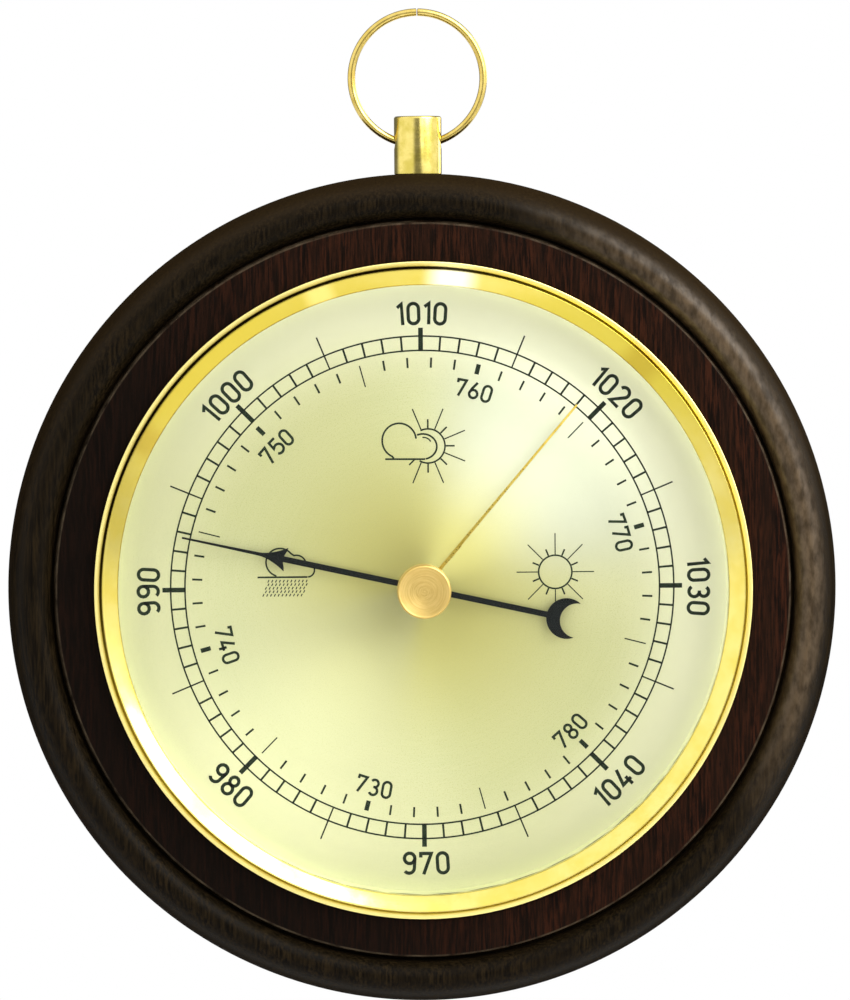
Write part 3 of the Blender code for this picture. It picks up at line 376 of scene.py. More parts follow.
def wood():
    """Dark stained mahogany under a worn satin finish, with its grain upright, and with painted shade and
    highlights.
    """
    look = Look("dark_stained_wood", ior=1.45)
    radius = look.radius()
    wave = look.noise(look.stretched(0.12, 0.12, 0.02), 1.0, 2.0)
    sway = look.add("CombineXYZ", {"X": look.remap(wave, 0, 1, -1.5, 1.5)})
    bent = look.vector("ADD", look.spot(), sway)

    def grain(across, up, detail, roughness):
        return look.noise(look.vector("MULTIPLY", bent, (across, across, up)), 1.0, detail, roughness)

    fibres = grain(2.4, 0.16, 6.0, 0.68)
    bands = grain(0.42, 0.018, 3.0, 0.5)
    pores = look.smooth(grain(3.6, 0.42, 4.0, 0.6), 0.58, 0.70)
    red = look.mix(look.smooth(fibres, 0.40, 0.64), (0.0030, 0.0015, 0.0009), (0.0235, 0.0070, 0.0030))
    red = look.mix(look.smooth(bands, 0.38, 0.66, 0.0, 0.6), red, (0.0085, 0.0036, 0.0018))
    red = look.mix(look.times(pores, 0.75), red, (0.0010, 0.0007, 0.0005))
    olive = look.mix(look.smooth(fibres, 0.38, 0.66), (0.0018, 0.0012, 0.0006), (0.0120, 0.0076, 0.0030))
    olive = look.mix(look.smooth(bands, 0.40, 0.65, 0.0, 0.5), olive, (0.0045, 0.0030, 0.0014))
    olive = look.mix(look.times(pores, 0.7), olive, (0.0009, 0.0007, 0.0004))
    # the left side is painted darker as shade, the bead's upper outside a lighter brown as painted sheen,
    # and the bead's right side pale as a painted highlight
    side = look.along((0.94, 0.0, 0.34))
    red = look.mix(look.smooth(side, -38.0, 8.0, 0.8, 0.0), red, (0.0022, 0.0014, 0.0009))
    # painted sheen: the bead's upper outside is lighter brown
    up = look.along((0.0, 0.0, 1.0))
    high = look.times(look.smooth(up, -15.0, 55.0), look.smooth(radius, 61.0, 63.4))
    olive = look.mix(look.times(high, 0.45), olive, (0.0200, 0.0118, 0.0044))
    # painted highlight: the bead's crest on the right is pale, broken up by noise
    patchy = look.remap(look.noise(look.stretched(0.9, 0.9, 0.4), 1.0, 4.0), 0.35, 0.65, 0.35, 1.0)
    crest = look.times(look.smooth(radius, 57.6, 58.9), look.smooth(radius, 60.8, 63.4, 1.0, 0.0))
    crest = look.times(crest, look.smooth(look.along((0.0, -1.0, 0.0)), 7.0, 11.0))
    painted_highlight_and_gloss = look.times(look.smooth(side, 30.0, 58.0), look.times(patchy, crest))
    olive = look.mix(look.times(painted_highlight_and_gloss, 0.9), olive, (0.0640, 0.0385, 0.0145))
    colour = look.mix(look.smooth(radius, 57.2, 57.9), red, olive)
    # the highlight's mask also makes the finish glossier there
    gloss = look.remap(painted_highlight_and_gloss, 0.0, 1.0, 0.04, 0.50)
    gloss = look.times(gloss, look.smooth(radius, 62.4, 64.2, 1.0, 0.12))
    # the finish is rubbed thin along the land's outer edge, and that pale line is also a painted highlight
    # on the edge
    edge = look.times(look.smooth(radius, 57.0, 57.25), look.smooth(radius, 57.5, 57.7, 1.0, 0.0))
    worn = look.times(edge, look.remap(look.noise(look.spot(), 0.35, 3.0), 0.35, 0.65, 0.1, 0.8))
    colour = look.mix(worn, colour, (0.080, 0.060, 0.038))
    # and it is dull down the sides
    dull = look.smooth(radius, 62.8, 64.6, 0.0, 0.3)
    rough = look.math("ADD", look.remap(fibres, 0.3, 0.7, 0.34, 0.50), dull)
    height = look.math("SUBTRACT", fibres, look.times(pores, 0.5))
    normal = look.bump(height, 0.5, 0.06)
    return look.finish(base_color=colour, roughness=rough, specular_ior_level=gloss, normal=normal)


# Painted reflections on the bezel, bright and dark patches: degrees from the top, half width in mm, colour
# and strength
PAINTED_REFLECTIONS = ((5.5, 3.4, (1.0, 0.98, 0.80), 0.8), (44.0, 3.0, (0.40, 0.29, 0.03), 0.65),
          (-19.0, 2.2, (0.80, 0.68, 0.24), 0.5), (-61.0, 2.4, (0.38, 0.26, 0.03), 0.5))


def bezel_wear(look, tint, worn):
    """Age and painted light on the bezel: uneven gilding, painted shade on the upper half and upper left,
    painted reflection patches, a groove darkened by dirt and painted shade, and a paler, less polished lip.
    """
    # the cone's upper half is painted a deeper gold as shade, least of all at the very top
    up = look.along((0.0, 0.0, 1.0))
    painted_upper_shade = look.times(look.smooth(up, 15.0, 33.0, 0.0, 0.9), look.smooth(up, 42.0, 49.0, 1.0, 0.45))
    tint = look.mix(painted_upper_shade, tint, (0.53, 0.435, 0.05))
    # the upper left is painted darker still, as shade
    painted_upper_left_shade = look.smooth(look.along((-0.7, 0.0, 0.7)), 22.0, 46.0, 0.0, 0.6)
    tint = look.mix(painted_upper_left_shade, tint, (0.42, 0.33, 0.045))
    for degrees, half, colour, strength in PAINTED_REFLECTIONS:
        x, y = polar(1.0, degrees)
        across = look.math("ABSOLUTE", look.along((y, 0.0, -x)))
        reflection_patch = look.smooth(across, half * 0.35, half * 1.5, strength, 0.0)
        reflection_patch = look.times(reflection_patch, look.smooth(look.along((x, 0.0, y)), 0.0, 20.0))
        tint = look.mix(reflection_patch, tint, colour)
    # dirt and painted shade darken the groove, thickest towards its upper left
    radius, soft = look.radius(), 0.06
    outwards = look.smooth(radius, GROOVE_INNER, GROOVE_INNER + soft)
    inside = look.times(outwards, look.smooth(radius, GROOVE_OUTER - soft, GROOVE_OUTER, 1.0, 0.0))
    groove_dirt_and_shade = look.smooth(look.along((-0.6, 0.0, 0.8)), 10.0, 42.0, 0.0, 0.9)
    tint = look.mix(look.times(inside, groove_dirt_and_shade), tint, (0.050, 0.032, 0.004))
    # the lip is paler and less polished
    lip = look.smooth(radius, GROOVE_OUTER, GROOVE_OUTER + 0.1)
    tint = look.mix(look.times(lip, 0.8), tint, (0.95, 0.84, 0.33))
    return tint, look.math("ADD", worn, look.times(lip, 0.22))


def spun_brass(name, colour, deep, rough, age_and_light=None):
    """Lacquered brass spun on a lathe: faint rings, cloudy tarnish and fine specks."""
    look = Look(name, metallic=1.0, anisotropic=0.25)
    clouds = look.noise(look.spot(), 0.16, 4.0, 0.6)
    specks = look.smooth(look.noise(look.spot(), 2.6, 2.0, 0.5), 0.60, 0.74)
    rings = look.noise(polar_grain(look, 7.0, 1.5), 1.0, 3.0)
    tint = look.mix(look.smooth(clouds, 0.35, 0.68, 0.0, 0.8), colour, deep)
    tint = look.mix(look.times(specks, 0.35), tint, deep)
    worn = look.remap(clouds, 0.3, 0.7, rough * 0.8, rough * 1.25)
    # the bezel's age and painted light come in here, where given
    if age_and_light:
        tint, worn = age_and_light(look, tint, worn)
    roughness = look.math("ADD", worn, look.remap(rings, 0.3, 0.7, 0.0, 0.05))
    normal = look.bump(rings, 0.12, 0.012, look.bump(clouds, 0.10, 0.25))
    return look.finish_turned(base_color=tint, roughness=roughness, normal=normal)


def drawn_brass(name, colour, deep, rough, along=(0.5, 0.5, 6.0)):
    """Turned or drawn brass whose fine scratches run across the given stretch."""
    look = Look(name, metallic=1.0)
    clouds = look.noise(look.spot(), 0.35, 4.0, 0.6)
    scratches = look.noise(look.stretched(*along), 1.0, 4.0, 0.6)
    tint = look.mix(look.smooth(clouds, 0.36, 0.66, 0.0, 0.8), colour, deep)
    tint = look.mix(look.smooth(scratches, 0.5, 0.75, 0.0, 0.35), tint, deep)
    roughness = look.remap(scratches, 0.3, 0.7, rough * 0.75, rough * 1.35)
    return look.finish(base_color=tint, roughness=roughness, normal=look.bump(scratches, 0.08, 0.01))


def knob_brass():
    """Coarsely faced brass: concentric turning marks left by the tool."""
    look = Look("faced_brass", metallic=0.85, anisotropic=0.2, anisotropic_rotation=0.25)
    marks = look.noise(polar_grain(look, 9.0, 0.7), 1.0, 4.0, 0.65)
    clouds = look.noise(look.spot(), 0.5, 3.0)
    tint = look.mix(look.smooth(marks, 0.35, 0.65), (0.50, 0.35, 0.10), (0.63, 0.46, 0.16))
    tint = look.mix(look.smooth(clouds, 0.4, 0.7, 0.0, 0.4), tint, (0.53, 0.36, 0.10))
    rough = look.remap(marks, 0.3, 0.7, 0.34, 0.46)
    return look.finish_turned(base_color=tint, roughness=rough, normal=look.bump(marks, 0.3, 0.02))


def dial_metal():
    """Champagne anodised aluminium, brushed in circles about the centre, with painted light and shade in
    fans, in the middle and at the rim.
    """
    look = Look("brushed_champagne", metallic=0.72, anisotropic=0.80, anisotropic_rotation=0.25)
    fine = look.noise(polar_grain(look, 16.0, 5.0), 1.0, 3.0, 0.6)
    coarse = look.noise(polar_grain(look, 3.0, 1.2), 1.0, 2.0, 0.5)
    dust = look.noise(look.spot(), 5.0, 2.0, 0.5)
    clouds = look.noise(look.spot(), 0.05, 2.0, 0.5)
    tint = look.mix(look.remap(fine, 0.3, 0.7), (0.605, 0.637, 0.345), (0.675, 0.692, 0.405))
    tint = look.mix(look.smooth(coarse, 0.4, 0.7, 0.0, 0.25), tint, (0.60, 0.64, 0.35))
    tint = look.mix(look.smooth(clouds, 0.35, 0.65, 0.0, 0.3), tint, (0.68, 0.67, 0.39))
    tint = look.mix(look.smooth(dust, 0.52, 0.72, 0.0, 0.5), tint, (0.44, 0.46, 0.18))
    # two broad fans, upper left and lower right, are painted a shade deeper as shade
    painted_dark_fans = look.smooth(look.math("ABSOLUTE", look.towards(-45)), 0.70, 0.96, 0.0, 0.22)
    tint = look.mix(painted_dark_fans, tint, (0.46, 0.47, 0.12))
    # and the middle is painted deeper too, as shade
    tint = look.mix(look.smooth(look.radius(), 6.0, 32.0, 0.9, 0.0), tint, (0.53, 0.51, 0.165))
    # the upper right fan is painted paler as a highlight, and the lower left one painted greyer as shade
    facing = look.towards(45)
    painted_bright_fan = look.times(look.smooth(facing, 0.66, 0.96, 0.0, 0.65), look.smooth(look.radius(), 8.0, 26.0))
    tint = look.mix(painted_bright_fan, tint, (0.57, 0.61, 0.53))
    tint = look.mix(look.smooth(facing, -0.96, -0.66, 0.5, 0.0), tint, (0.50, 0.52, 0.31))
    # the rim is painted palest as light against the bezel's shadow, most of all at the upper right
    painted_rim_light = look.smooth(look.along((0.7, 0.0, 0.7)), -45.0, 35.0, 0.15, 1.0)
    painted_rim_light = look.times(painted_rim_light, look.smooth(look.radius(), 30.0, 47.0))
    tint = look.mix(painted_rim_light, tint, (0.97, 0.99, 0.73))
    rough = look.remap(fine, 0.3, 0.7, 0.42, 0.50)
    return look.finish_turned(base_color=tint, roughness=rough, normal=look.bump(fine, 0.10, 0.01))


def ink():
    """Printed dark green-black ink, slightly uneven."""
    look = Look("dial_ink", specular_ior_level=0.03)
    patches = look.noise(look.spot(), 2.2, 4.0, 0.6)
    tint = look.mix(look.smooth(patches, 0.35, 0.7), (0.008, 0.015, 0.008), (0.020, 0.032, 0.016))
    return look.finish(base_color=tint, roughness=look.remap(patches, 0.3, 0.7, 0.45, 0.65))


def black_lacquer():
    """The pointer's black lacquer, with a fine orange peel."""
    look = Look("pointer_lacquer", specular_ior_level=0.08)
    orange_peel = look.noise(look.spot(), 3.0, 3.0, 0.5)
    tint = look.mix(look.smooth(orange_peel, 0.35, 0.7), (0.0020, 0.0035, 0.0035), (0.0045, 0.0065, 0.0062))
    rough = look.remap(orange_peel, 0.3, 0.7, 0.28, 0.42)
    return look.finish(base_color=tint, roughness=rough, normal=look.bump(orange_peel, 0.1, 0.01))


def pane():
    """Clear flat glass that mirrors more when seen from the side."""
    look = Look("clear_pane", metallic=1.0)
    slant = look.add("LayerWeight", {"Blend": 0.5}, out="Facing")
    mirror = look.remap(look.math("POWER", slant, 5.0), 0.0, 1.0, 0.022, 0.85)
    smears = look.noise(look.spot(), 0.08, 4.0, 0.6)
    strength = look.math("ADD", mirror, look.smooth(smears, 0.5, 0.8, 0.0, 0.006), clamp=True)
    tint = look.mix(look.smooth(smears, 0.4, 0.7), (1.0, 1.0, 1.0), (0.95, 1.0, 0.97))
    rough = look.remap(smears, 0.3, 0.7, 0.01, 0.03)
    look.material.surface_render_method = "BLENDED"
    return look.finish(base_color=tint, roughness=rough, alpha=strength)


def metal(name, colour, deep, rough):
    """Plain worked metal: drawn scratches one way, cloudy tarnish and small spots."""
    look = Look(name, metallic=1.0)
    clouds = look.noise(look.spot(), 0.12, 4.0, 0.6)
    scratches = look.noise(look.stretched(1.2, 1.2, 6.0), 1.0, 4.0, 0.6)
    spots = look.smooth(look.noise(look.spot(), 1.6, 2.0), 0.64, 0.74)
    tint = look.mix(look.smooth(clouds, 0.35, 0.68), colour, deep)
    tint = look.mix(look.times(spots, 0.4), tint, tuple(value * 0.55 for value in deep))
    base = look.remap(scratches, 0.3, 0.7, rough * 0.8, rough * 1.25)
    roughness = look.math("ADD", base, look.times(spots, 0.15))
    return look.finish(base_color=tint, roughness=roughness, normal=look.bump(scratches, 0.1, 0.02))


def rubber():
    """Dull, grainy seal rubber."""
    look = Look("seal_rubber", ior=1.5)
    grains = look.noise(look.spot(), 4.0, 4.0)
    tint = look.mix(grains, (0.010, 0.010, 0.010), (0.035, 0.034, 0.032))
    rough = look.remap(grains, 0.3, 0.7, 0.6, 0.85)
    return look.finish(base_color=tint, roughness=rough, normal=look.bump(grains, 0.3, 0.02))


def paper_floor():
    """The plain pale floor."""
    look = Look("floor_paper")
    fibres = look.noise(look.spot(), 0.02, 5.0)
    tint = look.mix(fibres, (0.86, 0.86, 0.86), (0.90, 0.90, 0.90))
    return look.finish(base_color=tint, roughness=0.9)


WOOD = wood()
BEZEL_BRASS = spun_brass("spun_brass", (0.74, 0.64, 0.20), (0.68, 0.55, 0.10), 0.17, bezel_wear)
RING_BRASS = drawn_brass("drawn_brass", (0.67, 0.53, 0.17), (0.54, 0.39, 0.08), 0.22, (3.0, 3.0, 3.0))
POST_BRASS = drawn_brass("turned_brass", (0.70, 0.58, 0.18), (0.50, 0.41, 0.07), 0.18)
HAND_BRASS = drawn_brass("hand_brass", (0.66, 0.50, 0.09), (0.52, 0.37, 0.04), 0.30, (4.0, 4.0, 4.0))
KNOB_BRASS = knob_brass()
DIAL_METAL = dial_metal()
INK = ink()
BLACK = black_lacquer()
PANE = pane()
CAN_STEEL = spun_brass("yellow_zinc_can", (0.72, 0.68, 0.50), (0.56, 0.50, 0.30), 0.28)
SCREW_STEEL = metal("zinc_steel", (0.62, 0.62, 0.60), (0.42, 0.41, 0.38), 0.30)
MOVEMENT_BRASS = metal("movement_brass", (0.84, 0.64, 0.26), (0.66, 0.46, 0.16), 0.26)
SPRING_BRONZE = metal("spring_bronze", (0.74, 0.46, 0.24), (0.52, 0.30, 0.14), 0.28)
BLUED_STEEL = metal("blued_steel", (0.10, 0.13, 0.26), (0.05, 0.05, 0.09), 0.26)
RUBBER = rubber()


# ---- case


def build_case():
    """One turned ring of wood: an outer bead, a valley, a flat land, the bore, and a recess behind."""
    bead_out = arc((CREST_RADIUS, SIDE_TOP), (CASE_RADIUS - CREST_RADIUS, CREST - SIDE_TOP), 0, 90, 28)
    bead_in = arc((CREST_RADIUS, VALLEY), (CREST_RADIUS - VALLEY_RADIUS, CREST - VALLEY), 90, 176, 18)[1:]
    back_round = arc((CASE_RADIUS - 4.0, CASE_BACK + 4.0), (4.0, 4.0), -90, 0, 12)
    profile = [(BORE_RADIUS, RECESS), (RECESS_RADIUS - 0.2, RECESS), (RECESS_RADIUS, RECESS - 0.2)]
    profile += [(RECESS_RADIUS, CASE_BACK + 0.2), (RECESS_RADIUS + 0.2, CASE_BACK)]
    profile += back_round + bead_out + bead_in
    profile += [(57.75, VALLEY - 0.15), (LAND_RADIUS + 0.02, VALLEY)]
    profile += arc((LAND_RADIUS - 0.4, LAND - 0.4), (0.4, 0.4), 0, 90, 6)
    profile += [(BORE_RADIUS + 0.2, LAND), (BORE_RADIUS, LAND - 0.2)]
    case = turned("case_turned", profile, "case", WOOD)
    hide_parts("wooden_case")


def build_bezel():
    """A lip that leans inwards a little, a fine groove, and a barely rounded cone down to the mouth."""
    low = BEZEL_SEAT
    lip_radius, lip_tilt = 51.33, 13
    profile = [(BEZEL_SKIRT, SKIRT_BACK), (BEZEL_SKIRT, low), (51.2, low), (lip_radius, low + 0.12)]
    profile += arc((lip_radius - 0.2, low + 0.95), (0.2, 0.2), 0, 90 + lip_tilt, 8)
    profile += arc((50.62, low + 0.936), (0.1, 0.1), 90 + lip_tilt, 180, 5)
    profile += [(50.47, low + 0.62), (50.42, low + 0.5), (50.34, low + 0.45), (50.24, low + 0.5)]
    profile += [(50.2, low + 0.8)] + arc((49.98, 14.25), (0.14, 0.25), 0, 70, 5)
    crest, mouth = Vector((49.98, 14.49)), Vector((47.7, 12.95))
    across = Vector((-(mouth - crest).y, (mouth - crest).x)).normalized()
    swell, steps = 0.06, 12
    for step in range(steps + 1):
        share = step / steps
        point = crest.lerp(mouth, share) - across * (swell * math.sin(math.pi * share))
        profile.append((point.x, point.y))
    inside = BEZEL_SKIRT - 0.4
    profile += [(47.63, 12.86), (47.6, 12.7), (47.6, 11.5), (inside, 11.5), (inside, SKIRT_BACK)]
    bezel = turned("bezel_spun", profile, "case", BEZEL_BRASS, smooth_deg=40)
    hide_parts("bezel")


def build_glass():
    """The flat pane with its drilled hole, and the flanged bush in that hole."""
    low, high, hole, rim = 9.8, 11.2, 2.2, 48.9
    profile = [(hole, low + 0.05), (hole + 0.05, low), (rim - 0.1, low), (rim, low + 0.1)]
    profile += [(rim, high - 0.1), (rim - 0.1, high), (hole + 0.05, high), (hole, high - 0.05)]
    glass = turned("glass_pane", profile, "case", PANE, MEDIUM * 2)
    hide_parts("glass")
    bore, barrel, flange, foot, top = 1.4, 1.9, 3.2, 9.0, 11.5
    bush = [(bore, foot), (flange - 0.1, foot), (flange, foot + 0.1), (flange, foot + 0.4)]
    bush += [(flange - 0.1, foot + 0.5), (barrel, foot + 0.5), (barrel, top), (bore, top)]
    made = turned("bush_turned", bush, "case", KNOB_BRASS, SMALL)
    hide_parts("spindle_bush")


def build_ring():
    """One wire bent into a ring. Its cut ends nearly meet at the top and are slightly rounded."""
    bm = bmesh.new()
    centre_z = WIRE_RADIUS - RING_RADIUS
    half_gap = 0.14 / RING_RADIUS
    around, section = 192, 20
    stations = [(half_gap * 0.45, 0.62), (half_gap * 0.62, 0.86), (half_gap, 1.0)]
    stations += [(half_gap + (math.tau - 2 * half_gap) * step / around, 1.0) for step in range(1, around)]
    stations += [(math.tau - angle, share) for angle, share in reversed(stations[:3])]
    rings = []
    for angle, share in stations:
        ring = []
        for step in range(section):
            turn = math.tau * step / section
            reach = RING_RADIUS + WIRE_RADIUS * share * math.cos(turn)
            depth = WIRE_RADIUS * share * math.sin(turn)
            place = (reach * math.sin(angle), depth, centre_z + reach * math.cos(angle))
            ring.append(bm.verts.new([value * MM for value in place]))
        rings.append(ring)
    skin(bm, rings)
    bm.faces.new(rings[0])
    bm.faces.new(rings[-1][::-1])
    ring = new_object("ring_wire", bm, "ring", RING_BRASS, 50)
    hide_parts("hanging_ring")


def upright(x, y, z):
    """A placing function for a piece that is turned about the post's upright line."""
    return Vector((x * MM, y * MM, AXIS.z + z * MM))


def build_post():
    """A turned stud with a shank in the wood and a cross hole for the ring."""
    foot, top, shank, shank_end = 64.95, 74.1, 1.8, 58.3
    profile = [(0, shank_end), (shank, shank_end), (shank, foot)]
    profile += [(POST_RADIUS - 0.1, foot), (POST_RADIUS, foot + 0.1)]
    profile += arc((POST_RADIUS - 0.4, top - 0.4), (0.4, 0.4), 0, 90, 5)
    profile += [(0, top)]
    post = turned("post_turned", profile, "case", POST_BRASS, MEDIUM, upright)
    hole = bmesh.new()
    hole_radius, reach = 1.1, 6
    height = (SWING.z - AXIS.z) / MM

    def across(x, y, z):
        return upright(z, x, height + y)

    plug(hole, hole_radius, -reach, reach, across)
    cut(post, hole)
    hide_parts("hanger_post")


# ---- dial and print

LADDER_INNER = 37.3
LADDER_OUTER = 39.55
LADDER_WIDTH = 0.25
HPA_TOP = 1010  # the outer scale's value at the top
DEG_PER_HPA = 4.5
MMHG_AT = (760, 14.6)  # one value of the inner scale, and its angle
DEG_PER_MMHG = 6.0


def bowl(centre, radius, start_deg, end_deg, squash=1.0):
    return arc(centre, (radius, radius * squash), start_deg, end_deg, 14)


def draw_digits():
    """Centre lines of an engineer's round-cornered digits, one unit high and about half as wide."""
    half = 0.26
    top = (0, 1 - half)
    low = (0, half)
    loop = bowl(low, half, 0, 360)
    return {
        "0": [bowl(top, half, 180, 0) + bowl(low, half, 0, -180) + [(-half, 1 - half)]],
        "1": [[(-0.22, 0.83), (0, 1.0), (0, -0.04)]],
        "2": [bowl(top, half, 165, -30) + [(-half, 0), (half + 0.02, 0)]],
        "3": [bowl((0, 0.74), half - 0.02, 150, -80), bowl(low, half, 100, -150)],
        "4": [[(0.04, 1.02), (-half, 0.24), (half + 0.03, 0.24)], [(0.12, 0.46), (0.12, -0.04)]],
        "5": [[(half, 1.0), (-0.20, 1.0), (-0.24, 0.52)] + bowl((0, 0.31), 0.31, 128, -145)[1:]],
        "6": [loop, [(-half, 0.28), (-0.16, 0.56), (0.12, 1.02)]],
        "7": [[(-half, 0.80), (-half, 1.0), (half, 1.0), (-0.12, -0.04)]],
        "8": [bowl((0, 0.75), half - 0.04, 0, 360, 1.05), loop],
        "9": [bowl(top, half, 0, 360), [(half, 1 - half)] + bowl(low, half, 0, -140)],
    }


DIGITS = draw_digits()
NUMBERS_OFF = (0.22, -0.20)  # the numbers are printed a little off centre
ADVANCE = {"1": 0.50}  # a digit's share of the line width, where it isn't the full one
FULL_ADVANCE = 0.83


def write_number(bm, text, degrees, radius, height, stroke):
    """A number bent along a circle, upright as read: its top points out above the middle, in below it."""
    outward = math.cos(math.radians(degrees)) > -0.2
    line = height - stroke
    widths = [ADVANCE.get(digit, FULL_ADVANCE) * line for digit in text]
    start = -sum(widths) / 2
    for digit, width in zip(text, widths):
        # a 1 lies wholly left of its stem
        shift = 0.10 * line if digit == "1" else 0.0
        middle = start + width / 2 + shift
        start += width
        turn = math.degrees(middle / radius)
        angle = degrees + (turn if outward else -turn)
        x, y = polar(radius, angle)
        spin = rotated(angle if outward else angle + 180, (x + NUMBERS_OFF[0], y + NUMBERS_OFF[1]))
        for points in DIGITS[digit]:
            strip(bm, [(x * line, (y - 0.5) * line) for x, y in points], stroke, spin)


# Radius, height and stroke of the numbers
HPA_NUMBERS = (43.3, 3.7, 0.53)
MMHG_NUMBERS = (32.2, 2.88, 0.41)
# Inner end, outer end and width of every tenth tick, every fifth one, and the rest
HPA_TICKS = ((37.2, 40.85, 0.74), (LADDER_INNER, 42.7, 0.24), (LADDER_INNER, LADDER_OUTER, 0.33))
MMHG_TICKS = ((34.6, 36.2, 0.70), (32.8, 36.25, 0.20), (34.6, 36.2, 0.32))


def tick_row(bm, start_deg, step_deg, kinds):
    for step in range(round(360 / step_deg)):
        inner, outer, width = kinds[0] if step % 10 == 0 else kinds[1] if step % 5 == 0 else kinds[2]
        half = width / 2
        outline = [(-half, inner), (half, inner), (half, outer), (-half, outer)]
        slab(bm, outline, PRINT_LOW, PRINT_HIGH, rotated(start_deg + step * step_deg))


def build_scale():
    """The outer ladder in hPa, the inner scale in mmHg, and their numbers."""
    bm = bmesh.new()
    for radius in (LADDER_INNER, LADDER_OUTER):
        strip(bm, arc((0, 0), (radius, radius), 0, 360, 360), LADDER_WIDTH)
    tick_row(bm, 0, DEG_PER_HPA, HPA_TICKS)
    tick_row(bm, MMHG_AT[1], DEG_PER_MMHG, MMHG_TICKS)
    new_object("print_scales", bm, "case", INK)
    bm = bmesh.new()
    for value in range(970, 1050, 10):
        write_number(bm, str(value), (value - HPA_TOP) * DEG_PER_HPA, *HPA_NUMBERS)
    for value in range(730, 790, 10):
        degrees = MMHG_AT[1] + (value - MMHG_AT[0]) * DEG_PER_MMHG
        write_number(bm, str(value), degrees, *MMHG_NUMBERS)
    new_object("print_numbers", bm, "case", INK)


def sun_rays(bm, centre, start, angles, reach, width):
    for degrees in angles:
        ends = [(centre[0] + x, centre[1] + y) for x, y in (polar(start, degrees), polar(reach, degrees))]
        strip(bm, ends, width)


def build_icons():
    """Weather signs: a sun on the right, a half-hidden sun on top, and a rain cloud on the left."""
    line = 0.26
    thin = line * 0.65
    gap = line * 0.55
    bm = bmesh.new()
    # the sun
    sun, sun_radius = (20.9, 2.31), 2.62
    strip(bm, arc(sun, (sun_radius, sun_radius), 0, 360, 64), line)
    turns = range(0, 360, 45)
    sun_rays(bm, sun, sun_radius + gap, turns, 6.1, thin)
    sun_rays(bm, sun, sun_radius + gap, [turn + 22.5 for turn in turns], 3.85, line)
    # the sun behind a cloud
    half_sun, sun_radius = (1.03, 22.29), 2.68
    strip(bm, arc(half_sun, (sun_radius, sun_radius), -120, 116, 56), line)
    turns = range(0, 226, 45)
    sun_rays(bm, half_sun, sun_radius + gap, [turn - 22.5 for turn in turns], 6.3, line * 0.75)
    sun_rays(bm, half_sun, sun_radius + gap, turns, 4.2, line)
    base = 20.22
    cloud = arc((-3.48, 23.16), (2.67, 2.72), 246, 6, 36)
    strip(bm, [(-4.35, base + line * 0.6)] + cloud, line * 1.1)
    strip(bm, arc((0.22, 22.2), (2.2, 1.98), 114, -78, 26), line * 1.1)
    strip(bm, [(-5.7, base + 0.05), (0.6, base)], line * 1.1)
    strip(bm, arc((0.3, 22.55), (1.25, 1.1), 96, 22, 10), line * 0.8)
    # the rain cloud
    base = 1.86
    cloud = arc((-22.35, 4.2), (2.2, 2.2), 250, 40, 30)
    cloud += arc((-19.75, 3.6), (1.55, 1.7), 105, 10, 12)
    cloud += arc((-18.1, 2.95), (1.15, 1.1), 60, -84, 12)
    strip(bm, [(-22.95, base + line * 0.6)] + cloud, line)
    strip(bm, [(-25.9, base), (-18.05, base)], line * 1.1)
    for row in range(5):
        for step in range(11):
            x = -24.2 + step * 0.6 - row * 0.2 + (row % 2) * 0.2
            y = 1.24 - row * 0.55
            strip(bm, [(x + 0.1, y + 0.2), (x - 0.1, y - 0.2)], thin)
    new_object("print_weather_signs", bm, "case", INK)


def build_dial():
    """The printed plate, and a thin sleeve that closes the gap between it and the bezel."""
    back, front, rim, hole = DIAL_BACK, DIAL_FRONT, DIAL_RADIUS, 1.6
    profile = [(hole, back), (rim - 0.1, back), (rim, back + 0.1), (rim, front - 0.1), (rim - 0.1, front)]
    profile += [(32.0, front), (16.0, front), (hole + 0.1, front), (hole, front - 0.1)]
    dial = turned("dial_face", profile, "case", DIAL_METAL)
    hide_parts("dial_plate")
    foot, top = front + 0.02, 8.5
    sleeve = [(rim - 0.15, foot), (rim + 0.26, foot), (rim + 0.26, top), (rim + 0.1, top)]
    turned("dial_sleeve", sleeve, "case", DIAL_METAL)
    build_scale()
    build_icons()


# ---- hands and knob


def sheet_hand(name, outline, low, degrees, body, look, bevel):
    """A flat hand cut from sheet, with its front edges broken."""
    bm = bmesh.new()
    slab(bm, outline, low, low + SHEET, rotated(degrees))
    break_edges(bm, min(vert.co.y for vert in bm.verts), bevel, 0.6)
    return new_object(name, bm, body, look, 25)


